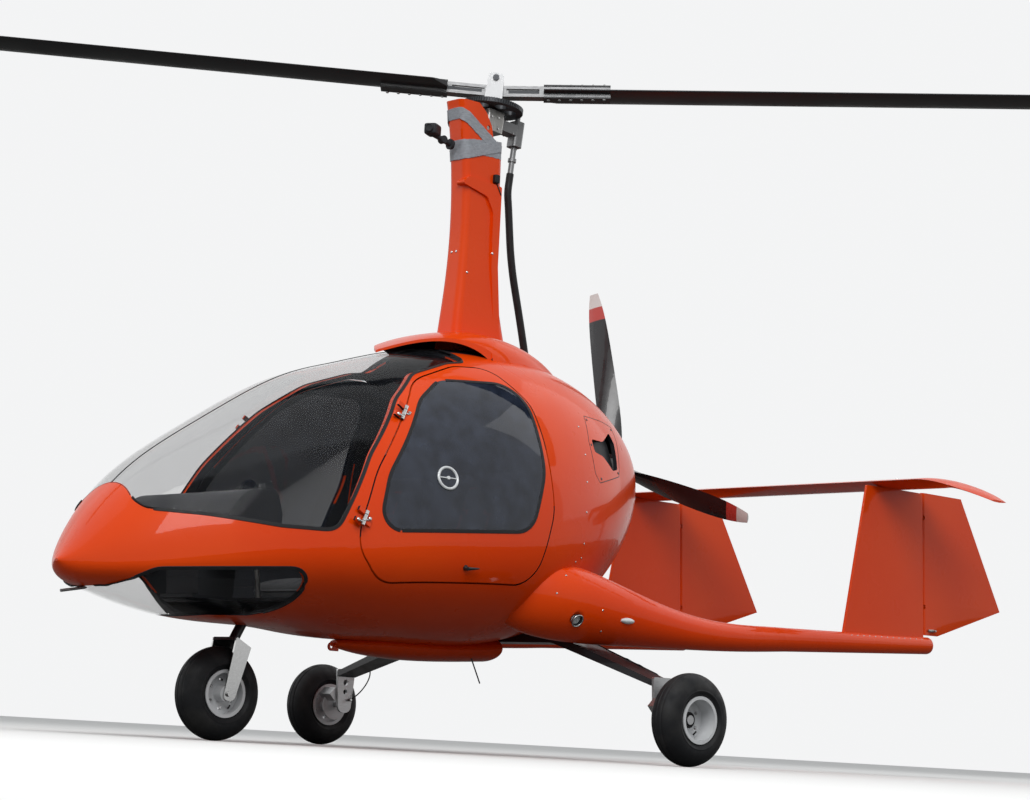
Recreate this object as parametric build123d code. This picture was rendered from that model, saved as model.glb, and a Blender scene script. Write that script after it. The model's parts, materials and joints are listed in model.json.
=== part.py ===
from build123d import *
import os
from math import atan2, cos, degrees, hypot, pi, radians, sin

os.makedirs("parts", exist_ok=True)

# A side-by-side two-seat gyrocopter with an enclosed cabin, a pusher propeller, two low tail
# booms and twin fins under one tailplane. Millimetres. +X is the aircraft's left, +Y is aft,
# +Z is up. The origin is on the ground under the middle of the rotor.

# Tyres and stance
TYRE_RADIUS = 190
TYRE_WIDTH = 136
TYRE_BEAD = 52
TYRE_SIDE_SINK = 4
RIM_RADIUS = 92
RIM_HALF_WIDTH = 58
RIM_WALL = 8
MAIN_WEB_X = -20
NOSE_WEB_X = 20
RIM_FLANGE = 5
RIM_WEB = 9
RIM_SINK = 1
RIM_HOLES = 6
RIM_HOLE_RADIUS = 8
HUB_OUTER = -4
HUB_END_GAP = 1
HUB_RADIUS = 34
AXLE_RADIUS = 12
AXLE_FIT = 0.3
MAIN_AXLE_Y = 181
MAIN_HALF_TRACK = 1220
NOSE_AXLE_Y = -1298

# Cabin and engine body: one smooth egg, cut into shell, cowl, doors and windows
WALL = 22
GLASS = 6
FIT = 0.3
DOOR_GAP = 6
PIN_FIT = 0.3
DOOR_HINGE_LOW = (661.6, -1117.8, 899.9)
DOOR_HINGE_HIGH = (544.4, -857.1, 1358.4)
KNUCKLE_RADIUS = 8
KNUCKLE_MIDDLE = 30
KNUCKLE_END = 19
KNUCKLE_GAP = 1
HINGE_LEAF = 40
HINGE_LEAF_THICK = 12
HINGE_PIN = 3.5
LEAF_ROOM = 2
FIREWALL_Y = 60
FIREWALL_THICK = 18
COWL_END_Y = 800
# y, lowest z, widest z, highest z, half width, fullness below, fullness above
BODY = [
    (-2095, 655, 660, 666, 12, 0.75, 0.75),
    (-2050, 604, 658, 730, 104, 0.75, 0.75),
    (-1930, 562, 664, 914, 262, 0.75, 0.75),
    (-1700, 512, 704, 1138, 445, 0.80, 0.75),
    (-1300, 472, 772, 1400, 608, 0.85, 0.75),
    (-850, 452, 830, 1600, 700, 0.90, 0.80),
    (-350, 447, 880, 1730, 725, 0.90, 0.85),
    (50, 485, 950, 1745, 680, 0.85, 0.85),
    (400, 640, 1060, 1680, 540, 0.80, 0.80),
    (640, 860, 1170, 1560, 370, 0.75, 0.75),
    (COWL_END_Y, 1110, 1270, 1430, 180, 0.75, 0.75),
]
HOLLOW_FROM = 2
INSET_SHARE = 0.25
SIDE_REACH = 1000
NOSE_REACH = 3000

# Side outlines as (y, z) corners with a rounding radius each
WINDSCREEN = [
    (-1862, 1020, 5), (-1897, 876, 40), (-1700, 866, 300), (-1440, 841, 250), (-1222, 842, 75),
    (-1050, 1165, 350), (-850, 1420, 250), (-690, 1552, 160), (-480, 1628, 200), (-380, 1645, 20),
    (-380, 1800, 10), (-1862, 1800, 10),
]
# The door's outline is drawn where the side is DOOR_PLANE_X wide and leans out and up from there
DOOR = [
    (-1129, 868, 260), (-1125, 772, 190), (-1011, 658, 190), (-235, 695, 140), (-150, 1000, 300),
    (-185, 1500, 150), (-300, 1700, 110), (-470, 1697, 150), (-718, 1590, 250), (-1040, 1108, 500),
]
DOOR_LEAN = 0.28
DOOR_PLANE_X = 650
DOOR_PRISM_X = (150, 1050)
DOOR_WINDOW = [
    (-1052, 858, 75), (-285, 922, 120), (-200, 1180, 250), (-208, 1562, 120), (-600, 1535, 150),
    (-745, 1430, 250), (-985, 1090, 250),
]
DOOR_WINDOW_X = 100
CHIN_WINDOW = [
    (-2060, 545, 5), (-1935, 578, 60), (-1852, 645, 60), (-1296, 690, 92), (-1296, 502, 88),
    (-1500, 492, 60), (-1640, 455, 20), (-1700, 300, 5), (-2060, 300, 5),
]
SIDE_VENT = [
    (168, 1372, 12), (265, 1372, 60), (366, 1428, 14), (392, 1384, 20), (368, 1262, 12), (318, 1250, 24),
    (240, 1304, 60), (172, 1316, 16),
]
SIDE_VENT_X = 300

# Tail booms and their root fairings: y, x, z, half width, half height
BOOM = [
    (-250, 480, 700, 100, 120),
    (0, 590, 660, 170, 165),
    (250, 672, 622, 128, 132),
    (550, 745, 580, 80, 84),
    (900, 785, 568, 56, 60),
    (1400, 800, 583, 40, 42),
    (2185, 800, 619, 38, 40),
]

# Twin fins, rudders and tailplane
FIN_X = 800
FIN_THICK = 34
FIN_FOOT_Z = 600
FIN_TOP_Z = 1331
FIN_FOOT_LE_Y = 1576
FIN_TOP_LE_Y = 1708
HINGE_FOOT = (2166, 640)
HINGE_TOP = (2121, 1331)
RUDDER_FIT = 6
RUDDER_NOSE = 12
HINGE_LUG_Z = (800, 1220)
HINGE_LUG_WIDTH = 12
HINGE_LUG_THICK = 8
HINGE_LUG_SINK = 8
HINGE_PIN_RADIUS = 3
HINGE_PIN_LENGTH = 34
HINGE_POCKET_GAP = 5
RUDDER_TE_THICK = 6
# z, trailing edge y
RUDDER = [(668, 2262), (817, 2732), (1336, 2405)]
TAILPLANE_SWELL = 0.35
FIN_NOSE_SHARE = 0.22
FIN_SWELL = 0.45
FIN_BACK_SHARE = 0.38
# x, leading edge y, trailing edge y, middle z, thickness
TAILPLANE = [
    (0, 1722, 2052, 1349, 36),
    (1060, 1722, 2052, 1349, 36),
    (1150, 1760, 2068, 1342, 30),
    (1220, 1850, 2095, 1318, 22),
    (1285, 2010, 2130, 1276, 10),
]

# Mast, scoop and rotor head: z, middle y, half length, half width
MAST = [
    (1640, -60, 165, 84),
    (1850, -68, 146, 74),
    (2150, -84, 106, 62),
    (2500, -86, 108, 60),
    (2760, -106, 118, 62),
    (2870, -118, 128, 64),
]
MAST_WALL = 8
MAST_FLOOR_Z = 2700
MAST_ROUND = 0.5
# Side view of the open back of the mast's top, y and z with a rounding radius each
MAST_NOTCH = [
    (-162, 2885, 0), (-96, 2832, 60), (-62, 2776, 60), (-43, 2698, 14), (240, 2698, 0), (240, 2960, 0),
    (-162, 2960, 0),
]
# Side view of the cable cover on the mast's left: a ledge that runs down the rear corner
LEDGE = [
    (-226, 2494, 10), (-176, 2531, 14), (10, 2512, 8), (12, 2150, 200), (50, 1800, 0), (14, 1800, 0),
    (-26, 2150, 200), (-34, 2392, 40), (-72, 2456, 40),
]
LEDGE_X = (20, 71)
# y, half width, height of the hood's top
SCOOP = [
    (-610, 190, 1686), (-430, 280, 1775), (-200, 318, 1823), (20, 300, 1808), (230, 225, 1755),
    (430, 100, 1665),
]
SCOOP_WALL = 12
SCOOP_SINK = min(top for _, _, top in SCOOP) - 80
SCOOP_FULLNESS = 1.6
SCOOP_THROAT_Y = 230
# Plan of the left lip from its outer end to its middle, x and y
SCOOP_LIP = [(300, -195), (190, -430), (0, -592)]
SCOOP_LIP_REACH = 360

# Rotor: a two-blade seesaw on a tilted spin axis
TEETER_Z = 3010
SPIN_TILT = 6
BLADE_AZIMUTH = 48
PRECONE = 2.5
BAR_DROP = 58
BAR_HALF_LENGTH = 515
BAR_WIDTH = 62
BAR_HEIGHT = 50
BAR_OVERLAP = 10
BLADE_START = 215
BLADE_TIP = 4300
BLADE_CHORD = 200
BLADE_THICK = 24
BLADE_NOSE = 62
BLADE_EDGE = 2
BLADE_CORNER = 90
BLADE_SWELL = 0.3
BLADE_NOSE_SHARE = 0.35
BAR_GROOVE_END = 20
BAR_GROOVE_WIDTH = 22
BAR_GROOVE_DEPTH = 8
TEETER_BLOCK_LENGTH = 54
GRIP_END = 515
GRIP_PLATE = 6
GRIP_WIDTH = 72
BOLT_HEAD = 8
BOLT_HEAD_LIP = 5
TEETER_BLOCK_HALF = 36
TOWER_GAP = 0.5
TOWER_CHEEK = 11
TOWER_FOOT_WIDTH = 83
TOWER_TOP_WIDTH = 68
TOWER_TOP = 21
TOWER_ROUND = 16
TOWER_BASE = 14
BOLT_RADIUS = 9
RING_RADIUS = 140
RING_THICK = 20
RING_TOP_DROP = 122
RING_HOLE_RADIUS = 28
RING_HOLES = 6
RING_TEETH = 72
# One tooth: share of the pitch, depth below the tip
RING_TOOTH = [(0.05, 4), (0.35, 4), (0.48, 0), (0.92, 0)]
SHAFT_RADIUS = 22
HEAD_GAP = 8
HEAD_BLOCK = (84, 96, 96)
HEAD_ROUND = 12
PIVOT_RADIUS = 10
PIVOT_Y = -82
PIVOT_Z = 2768
PIVOT_HALF = 58
PIVOT_LUG = 21
SHAFT_DEPTH = 44
SHAFT_END_GAP = 2
GEARBOX_ARM = 62
PINION_RADIUS = 12
PINION_GAP = 5
GEARBOX = (60, 52, 118)
GEARBOX_ROUND = 14
GEARBOX_ARM_SINK = 5
COUPLING_RADIUS = 13
COUPLING_LENGTH = 125
CLAMP_RADIUS = 19
CLAMP_LENGTH = 16

# Flexible drive from the roof to the rotor head
DRIVE_RADIUS = 17
DRIVE_LEAD = 90
BEND_SHARE = 0.45
DRIVE_ROUTE = [(0, 116, 2450), (0, 150, 2190), (0, 222, 1950), (0, 290, 1700)]

# Landing gear bow: x, z of the spring's middle line, and its thickness
BOW_MIDDLE_Z = 512
BOW_SHOULDER_X = 455
BOW_END_X = 1045
BOW_END_Z = 335
BOW_THICK_MIDDLE = 40
BOW_THICK_END = 26
BOW_CHORD_MIDDLE = 160
BOW_CHORD_END = 108
BOW_BEND = 130
BOW_ROOM_LOW = 200
BOW_ROOM_OVERLAP = 100
BRACKET_THICK = 12
BRACKET_LIP = 10
BRACKET_FOOT = 36
BRACKET_ROUND = 8
BRACKET_HOLES = [(296, 14), (252, 12)]
AXLE_NUT = 10
AXLE_NUT_LIP = 7
AXLE_NUT_GAP = 1
DISC_OFF = 60
DISC_TO_HUB = 20
BRAKE_GAP = 5
CALIPER = (46, 44)
CALIPER_PAST_DISC = 23
CALIPER_TURN = 45
BRACKET_WIDTH = 106
DISC_RADIUS = 70
DISC_THICK = 6

# Nose gear
NOSE_RAKE = 28
STEER_FOOT = (-1239.5, 399.9)
LEG_RADIUS = 21
LEG_TUBE_LENGTH = 200
STEM_RADIUS = 15
STEM_LENGTH = 120
CROWN_GAP = 1
CROWN_DEPTH = 84
FORK_FOOT = 28
FORK_PLATE = 9
FORK_GAP = 7
CROWN_THICK = 14
CROWN_ROUND = 4

# Propeller and engine
PROP_Y = 872
PROP_Z = 1335
PROP_RADIUS = 880
PROP_HUB_RADIUS = 78
PROP_HUB_DEPTH = 60
PROP_HUB_ROUND = 20
PROP_CREST = -0.17
PROP_UNDER = 0.33
PROP_SHAFT_RADIUS = 30
PROP_SHAFT_LENGTH = 120
PROP_CASE_RADIUS = 56
PROP_CASE_GAP = 6
PROP_FLANGE = 24
PROP_BLADES = 3
PROP_START = -14
# reach from the axis, chord, thickness, pitch
PROP_SECTIONS = [
    (60, 60, 34, 62), (220, 104, 22, 46), (480, 106, 14, 28), (750, 86, 9, 19), (PROP_RADIUS, 44, 5, 16),
]
ENGINE = (430, 400, 330)
ENGINE_MIDDLE = (0, 390, 1150)
ENGINE_TUBE_RADIUS = 12
ENGINE_TUBE_X = 150
ENGINE_TUBE_Z = 99

# Cabin furniture
SEAT_X = 330
SEAT_WIDTH = 470
SEAT_PAN_Z = 700
FLOOR_Z = 560
FLOOR_THICK = 14
FURNITURE_Z = FLOOR_Z + FLOOR_THICK + FIT
# Side views: y and z, and the corner's rounding radius
CUSHION = [
    (-800, FURNITURE_Z, 12), (-812, SEAT_PAN_Z + 22, 45), (-600, SEAT_PAN_Z, 200),
    (-392, SEAT_PAN_Z - 38, 10), (-372, FURNITURE_Z, 8),
]
BACK_REST = [
    (-362, FURNITURE_Z, 8), (-378, SEAT_PAN_Z - 30, 10), (-208, 1240, 48), (-104, 1216, 48),
    (-236, FURNITURE_Z, 8),
]
PANEL = [
    (-1330, FURNITURE_Z, 8), (-1318, 905, 20), (-1350, 1000, 40), (-1500, 985, 120), (-1600, 850, 60),
    (-1520, 760, 60), (-1500, FURNITURE_Z, 8),
]
STICK_Y = -900
STICK_LENGTH = 300
STICK_RADIUS = 11
STICK_LEAN = 8
CABIN_FLOOR_Y = (-1300, 38)
CONSOLE_FRONT_Y = -1530
PANEL_WIDTH = 780
PANEL_LOW_Z = 790
CONSOLE_WIDTH = 220

# Fairing under the belly: y, x, z, half width, half height
BELLY = [
    (-720, 0, 430, 26, 14), (-560, 0, 432, 100, 40), (-150, 0, 440, 140, 52), (104, 0, 462, 146, 58),
]
TOW_EYE_Y = -730
TOW_EYE_Z = 416
TOW_EYE_OUTER = 18
TOW_EYE_RADIUS = 8
TOW_EYE_THICK = 8
TOW_EYE_ROOM = 80

# Small fittings: the pitot tube's route, the antenna's foot and tip, and the boom lamps
PITOT_ROUTE = [(0, -1935, 625), (0, -1948, 566), (0, -2064, 544)]
PITOT_BEND = 22
PITOT_RADIUS = 6
ANTENNA_FOOT = (100, -75, 480)
ANTENNA_TIP = (100, 19, 306)
ANTENNA_RADIUS = 3
LAMP_PLACE = (737, -16, 577)
LAMP_FACING = (0.86, 0, -0.51)
LAMP_ROOM = 27
LAMP_ROOM_DEPTH = 26
LAMP_RADIUS = 20
LAMP_DEPTH = 16
NAV_LIGHT_PLACE = (789, 226, 594)
NAV_LIGHT = (14, 40, 13)
# Share of the light's half length along it, share of its full section
NAV_LIGHT_SHAPE = [(-1, 0.35), (-0.33, 1), (1, 0.35)]

HALF_TURN = 180
CORNER_SHARE = 0.48


def save(shape, name):
    export_step(shape, f"parts/{name}.step")


def rounded(corners, place):
    """A flat face whose corners are rounded by the third number of each; place gives the 3-D point."""
    points = [(u, v) for u, v, _ in corners]
    edges = []
    count = len(points)
    ends = []
    for i, (u, v, radius) in enumerate(corners):
        here, before, after = Vector(u, v), Vector(*points[i - 1]), Vector(*points[(i + 1) % count])
        into, away = (before - here).normalized(), (after - here).normalized()
        turn = radians(into.get_angle(away)) / 2
        limit = CORNER_SHARE * min((before - here).length, (after - here).length)
        reach = min(radius * cos(turn) / sin(turn), limit)
        radius = reach * sin(turn) / cos(turn)
        middle = here + (into + away).normalized() * (radius / sin(turn) - radius)
        ends.append((here + into * reach, middle, here + away * reach))
    for i, arc in enumerate(ends):
        start, middle, end = [place(p.X, p.Y) for p in arc]
        following = ends[(i + 1) % count][0]
        if corners[i][2]:
            edges.append(ThreePointArc(start, middle, end))
        edges.append(Line(end, place(following.X, following.Y)))
    return Face(Wire(edges))


def outline(corners):
    """A rounded face in the plane of y and z."""
    return rounded(corners, lambda u, v: (0, u, v))


def side_prism(corners, low_x=-SIDE_REACH, high_x=SIDE_REACH, shrink=0.0):
    """The outline pushed along X, right through the body or through one side of it."""
    face = outline(corners)
    if shrink:
        face = offset(face, amount=-shrink).face()
    return extrude(Location((low_x, 0, 0)) * face, amount=high_x - low_x, dir=(1, 0, 0))


def door_prism(side, shrink):
    """The door's outline pushed out along the way the door first moves, out and slightly up."""
    face = outline(DOOR)
    if shrink:
        face = offset(face, amount=-shrink).face()
    start, stop = DOOR_PRISM_X
    run = Location((side * start, 0, -(DOOR_PLANE_X - start) * DOOR_LEAN)) * face
    return extrude(run, amount=(stop - start) * hypot(1, DOOR_LEAN), dir=(side, 0, DOOR_LEAN))


def body_section(station, inset):
    """One closed ring of four conic quarters, widest at its own height."""
    y, low, wide, high, half, full_low, full_high = station
    inset = min(inset, INSET_SHARE * (high - low))
    low, high, half = low + inset, high - inset, half - inset
    corners = [(half, wide), (0, high), (-half, wide), (0, low)]
    pulls = [(half, high), (-half, high), (-half, low), (half, low)]
    weights = [full_high, full_high, full_low, full_low]
    edges = []
    for i in range(4):
        a, b, c = corners[i], corners[(i + 1) % 4], pulls[i]
        edges.append(Bezier((a[0], y, a[1]), (c[0], y, c[1]), (b[0], y, b[1]), weights=[1, weights[i], 1]))
    return Wire(edges)


def body(inset=0.0, first=0):
    """The whole body, or the room inside it that starts at a later section."""
    stations = [list(s) for s in BODY[first:]]
    stations[0][0] += inset
    return Solid.make_loft([body_section(s, inset) for s in stations])


def slab(low_y, high_y):
    reach = 2 * SIDE_REACH
    return Pos(0, (low_y + high_y) / 2, SIDE_REACH) * Box(reach, high_y - low_y, 2 * reach)


def ellipse_loft(stations):
    """Ellipses square to Y, through y, x, z, half width, half height."""
    rings = []
    for y, x, z, half_wide, half_high in stations:
        plane = Plane(origin=(x, y, z), x_dir=(1, 0, 0), z_dir=(0, -1, 0))
        rings.append((plane * Ellipse(half_wide, half_high)).wire())
    return Solid.make_loft(rings)


def mirrored(shape):
    return mirror(shape, about=Plane.YZ)


def both_sides(shape, name):
    save(shape, name + "_left")
    save(mirrored(shape), name + "_right")


def fuselage(slot):
    outer = body()
    inner = body(WALL, HOLLOW_FROM)
    pane_inner = body(GLASS)
    shell = outer - inner
    panes = outer - pane_inner

    cabin = (outer - side_prism(WINDSCREEN) - side_prism(CHIN_WINDOW)) - inner
    cabin = cabin & slab(-NOSE_REACH, FIREWALL_Y)
    for side in (1, -1):
        cabin -= door_prism(side, 0)
    cabin -= slot
    cabin -= leg_hole()
    pins, bores, leaves, pin_room, leaf_room = door_hinges()
    cabin = cabin - leaf_room - mirrored(leaf_room) + pins + mirrored(pins)
    save(cabin, "fuselage_shell")
    save(panes & side_prism(WINDSCREEN, shrink=FIT), "windscreen")
    save(panes & side_prism(CHIN_WINDOW, shrink=FIT), "chin_window")

    door_skin = shell & door_prism(1, DOOR_GAP)
    door = door_skin - side_prism(DOOR_WINDOW, DOOR_WINDOW_X) - pin_room + leaves - bores
    glass = panes & side_prism(DOOR_WINDOW, DOOR_WINDOW_X, shrink=FIT)
    both_sides(door, "door")
    both_sides(glass, "door_glass")

    cowl = (shell & slab(FIREWALL_Y, SIDE_REACH)) - slot
    for side in (1, -1):
        low, high = sorted((side * SIDE_VENT_X, side * SIDE_REACH))
        cowl -= side_prism(SIDE_VENT, low, high)
    save(cowl, "engine_cowl")
    bulkhead = body(WALL + FIT, HOLLOW_FROM) & slab(FIREWALL_Y - FIREWALL_THICK, FIREWALL_Y)
    save(bulkhead - slot, "firewall")
    return outer


def door_hinges():
    """Two hinges on the left: what is fixed, the door's bores and leaves, and the room for each half."""
    low, high = Vector(*DOOR_HINGE_LOW), Vector(*DOOR_HINGE_HIGH)
    axis = (high - low).normalized()
    fixed, moving, bores, fixed_room, moving_room = [], [], [], [], []
    for middle in (low, high):
        outward = Vector(1, 0, 0)
        outward = (outward - axis * outward.dot(axis)).normalized()
        place = Plane(origin=middle, x_dir=outward, z_dir=axis).location
        offset_z = KNUCKLE_MIDDLE / 2 + KNUCKLE_GAP + KNUCKLE_END / 2
        for end in (1, -1):
            barrel = Cylinder(KNUCKLE_RADIUS, KNUCKLE_END)
            leaf = Pos(-KNUCKLE_RADIUS, -HINGE_LEAF / 2, 0) * Box(HINGE_LEAF_THICK, HINGE_LEAF, KNUCKLE_END)
            fixed.append(place * Pos(0, 0, end * offset_z) * (barrel + leaf))
            fixed_room.append(place * Pos(-KNUCKLE_RADIUS, 0, end * offset_z) * Box(
                HINGE_LEAF_THICK + 2 * LEAF_ROOM, 2 * KNUCKLE_RADIUS, KNUCKLE_END + 2 * LEAF_ROOM))
        fixed.append(place * Cylinder(HINGE_PIN, 2 * offset_z))
        leaf = Pos(-KNUCKLE_RADIUS, HINGE_LEAF / 2, 0) * Box(HINGE_LEAF_THICK, HINGE_LEAF, KNUCKLE_MIDDLE)
        moving.append(place * (Cylinder(KNUCKLE_RADIUS, KNUCKLE_MIDDLE) + leaf))
        bores.append(place * Cylinder(HINGE_PIN + PIN_FIT, 2 * KNUCKLE_MIDDLE))
        moving_room.append(place * Pos(-KNUCKLE_RADIUS, 0, 0) * Box(
            HINGE_LEAF_THICK + 2 * LEAF_ROOM, 2 * KNUCKLE_RADIUS, KNUCKLE_MIDDLE + 2 * LEAF_ROOM))
    return [Compound(group) for group in (fixed, bores, moving, fixed_room, moving_room)]


def gear_bow():
    """A leaf spring: its side view pushed along Y, trimmed to its taper in plan."""
    middle, end = BOW_THICK_MIDDLE / 2, BOW_THICK_END / 2
    top = [
        (-BOW_END_X, BOW_END_Z + end, 0), (-BOW_SHOULDER_X, BOW_MIDDLE_Z + middle, BOW_BEND),
        (BOW_SHOULDER_X, BOW_MIDDLE_Z + middle, BOW_BEND), (BOW_END_X, BOW_END_Z + end, 0),
    ]
    low = [
        (BOW_END_X, BOW_END_Z - end, 0), (BOW_SHOULDER_X, BOW_MIDDLE_Z - middle, BOW_BEND),
        (-BOW_SHOULDER_X, BOW_MIDDLE_Z - middle, BOW_BEND), (-BOW_END_X, BOW_END_Z - end, 0),
    ]
    side = rounded(top + low, lambda u, v: (u, MAIN_AXLE_Y - BOW_CHORD_MIDDLE, v))
    spring = extrude(side, amount=2 * BOW_CHORD_MIDDLE, dir=(0, 1, 0))
    wide, narrow = BOW_CHORD_MIDDLE / 2, BOW_CHORD_END / 2
    plan = Polyline([
        (-BOW_END_X, MAIN_AXLE_Y - narrow), (-BOW_SHOULDER_X, MAIN_AXLE_Y - wide),
        (BOW_SHOULDER_X, MAIN_AXLE_Y - wide), (BOW_END_X, MAIN_AXLE_Y - narrow),
        (BOW_END_X, MAIN_AXLE_Y + narrow), (BOW_SHOULDER_X, MAIN_AXLE_Y + wide),
        (-BOW_SHOULDER_X, MAIN_AXLE_Y + wide), (-BOW_END_X, MAIN_AXLE_Y + narrow),
    ], close=True)
    return spring & extrude(make_face(plan), amount=SIDE_REACH)


def bow_clearance():
    """The room that the spring takes from the belly and the boom roots."""
    return (
        Pos(0, MAIN_AXLE_Y, (BOW_MIDDLE_Z + BOW_THICK_MIDDLE / 2 + FIT) / 2)
        * Box(2 * BOW_SHOULDER_X, BOW_CHORD_MIDDLE + 2 * FIT, BOW_MIDDLE_Z + BOW_THICK_MIDDLE / 2 + FIT)
    ) + bow_drop_clearance()


def bow_drop_clearance():
    fall = (BOW_MIDDLE_Z - BOW_END_Z) / (BOW_END_X - BOW_SHOULDER_X)
    high = BOW_MIDDLE_Z + BOW_THICK_MIDDLE / 2 + FIT
    inner, outer = BOW_SHOULDER_X - BOW_ROOM_OVERLAP, BOW_END_X + BOW_ROOM_OVERLAP
    corners = [
        (inner, BOW_ROOM_LOW), (inner, high), (BOW_SHOULDER_X, high),
        (outer, high - fall * (outer - BOW_SHOULDER_X)), (outer, BOW_ROOM_LOW),
    ]
    start = MAIN_AXLE_Y - BOW_CHORD_MIDDLE / 2 - FIT
    wedge = extrude(Face(Wire(Polyline([(x, start, z) for x, z in corners], close=True).edges())),
                    amount=BOW_CHORD_MIDDLE + 2 * FIT, dir=(0, 1, 0))
    return wedge + mirrored(wedge)


def booms(outer, slot):
    boom = ellipse_loft(BOOM) - outer
    boom = max(boom.solids(), key=lambda s: s.volume)
    boom = boom - slot
    boom = max(boom.solids(), key=lambda s: s.volume)
    facing = Plane(origin=LAMP_PLACE, z_dir=LAMP_FACING).location
    drilled = boom - facing * Cylinder(LAMP_ROOM, 2 * LAMP_ROOM_DEPTH)
    both_sides(drilled, "tail_boom")
    lamp = facing * Pos(0, 0, LAMP_DEPTH / 2 - LAMP_ROOM_DEPTH) * Cylinder(LAMP_RADIUS, LAMP_DEPTH)
    save(Compound([lamp, mirrored(lamp)]), "boom_lamps")
    wide, long, high = NAV_LIGHT
    x, y, z = NAV_LIGHT_PLACE
    rings = []
    for share, size in NAV_LIGHT_SHAPE:
        rings.append((y + share * long, x, z, wide * size, high * size))
    light = ellipse_loft(rings) - drilled
    light = max(light.solids(), key=lambda s: s.volume)
    save(Compound([light, mirrored(light)]), "nav_lights")
    return drilled


def small_fittings(outer, pod):
    """The hooked pitot tube under the nose and the whip antenna under the belly."""
    route = FilletPolyline(*PITOT_ROUTE, radius=PITOT_BEND)
    tube = sweep(Plane(origin=route @ 0, z_dir=route % 0) * Circle(PITOT_RADIUS), path=route) - outer
    save(max(tube.solids(), key=lambda s: s.volume), "pitot_tube")
    foot, tip = Vector(*ANTENNA_FOOT), Vector(*ANTENNA_TIP)
    place = Plane(origin=(foot + tip) * 0.5, z_dir=tip - foot).location
    rod = place * Cylinder(ANTENNA_RADIUS, (tip - foot).length) - outer - pod
    save(min(rod.solids(), key=lambda s: s.center().Z), "belly_antenna")


def fin_section(z, front, back, thick):
    """A thin streamlined outline: round nose, bulged sides, flat back."""
    nose = FIN_NOSE_SHARE * thick
    half = thick / 2
    rear = FIN_BACK_SHARE * thick
    swell_y = front + FIN_SWELL * (back - front)
    edges = [
        ThreePointArc((-nose, front + nose, z), (0, front, z), (nose, front + nose, z)),
        ThreePointArc((nose, front + nose, z), (half, swell_y, z), (rear, back, z)),
        Line((rear, back, z), (-rear, back, z)),
        ThreePointArc((-rear, back, z), (-half, swell_y, z), (-nose, front + nose, z)),
    ]
    return Wire(edges)


def hinge_y(z):
    """Where the rudder's hinge line is at a height."""
    share = (z - HINGE_FOOT[1]) / (HINGE_TOP[1] - HINGE_FOOT[1])
    return HINGE_FOOT[0] + share * (HINGE_TOP[0] - HINGE_FOOT[0])


def lead_y(z):
    share = (z - FIN_FOOT_Z) / (FIN_TOP_Z - FIN_FOOT_Z)
    return FIN_FOOT_LE_Y + share * (FIN_TOP_LE_Y - FIN_FOOT_LE_Y)


def rudder_section(z, trail_y):
    nose = RUDDER_NOSE
    tail = RUDDER_TE_THICK / 2
    y = hinge_y(z)
    edges = [
        ThreePointArc((nose, y, z), (0, y - nose, z), (-nose, y, z)),
        Line((-nose, y, z), (-tail, trail_y, z)),
        Line((-tail, trail_y, z), (tail, trail_y, z)),
        Line((tail, trail_y, z), (nose, y, z)),
    ]
    return Wire(edges)


def tail(boom):
    rings = []
    for x, front, back, z, thick in TAILPLANE:
        swell_y = front + TAILPLANE_SWELL * (back - front)
        nose, trail = (x, front, z), (x, back, z)
        rings.append(Wire([
            ThreePointArc(nose, (x, swell_y, z + thick / 2), trail),
            ThreePointArc(trail, (x, swell_y, z - thick / 2), nose),
        ]))
    half = Solid.make_loft(rings[:2], ruled=True) + Solid.make_loft(rings[1:])
    plane = half + mirrored(half)
    save(plane, "tailplane")

    fin_levels = (FIN_FOOT_Z, FIN_TOP_Z)
    fin = Solid.make_loft(
        [fin_section(z, lead_y(z), hinge_y(z) - RUDDER_NOSE - RUDDER_FIT, FIN_THICK) for z in fin_levels],
        ruled=True,
    )
    fin = Pos(FIN_X, 0, 0) * fin - boom - plane
    fin = max(fin.solids(), key=lambda s: s.volume)
    bearing = hinge_bearings()
    both_sides(fin + bearing[0], "fin")
    rudder = Solid.make_loft([rudder_section(z, y) for z, y in RUDDER], ruled=True)
    both_sides(Pos(FIN_X, 0, 0) * rudder - bearing[1], "rudder")


def hinge_bearings():
    """Two lugs on the fin with a pin each, and the pockets that they need in the rudder."""
    lugs, pockets = [], []
    direction = Vector(0, HINGE_TOP[0] - HINGE_FOOT[0], HINGE_TOP[1] - HINGE_FOOT[1])
    for z in HINGE_LUG_Z:
        plane = Plane(origin=(FIN_X, hinge_y(z), z), x_dir=(1, 0, 0), z_dir=direction)
        reach = RUDDER_NOSE + RUDDER_FIT + HINGE_LUG_SINK
        lug = Pos(0, -reach / 2, 0) * Box(HINGE_LUG_WIDTH, reach, HINGE_LUG_THICK)
        lug += Cylinder(HINGE_LUG_WIDTH / 2, HINGE_LUG_THICK)
        lug += Cylinder(HINGE_PIN_RADIUS, HINGE_PIN_LENGTH)
        pocket = Cylinder(HINGE_LUG_WIDTH / 2 + HINGE_POCKET_GAP, HINGE_LUG_THICK + 2 * HINGE_POCKET_GAP)
        pocket += Pos(0, -RUDDER_NOSE, 0) * Box(4 * RUDDER_NOSE, 2 * RUDDER_NOSE,
                                               HINGE_LUG_THICK + 2 * HINGE_POCKET_GAP)
        pocket += Cylinder(HINGE_PIN_RADIUS + PIN_FIT, HINGE_PIN_LENGTH + 2 * PIN_FIT)
        lugs.append(plane.location * lug)
        pockets.append(plane.location * pocket)
    return Compound(lugs), Compound(pockets)


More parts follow.
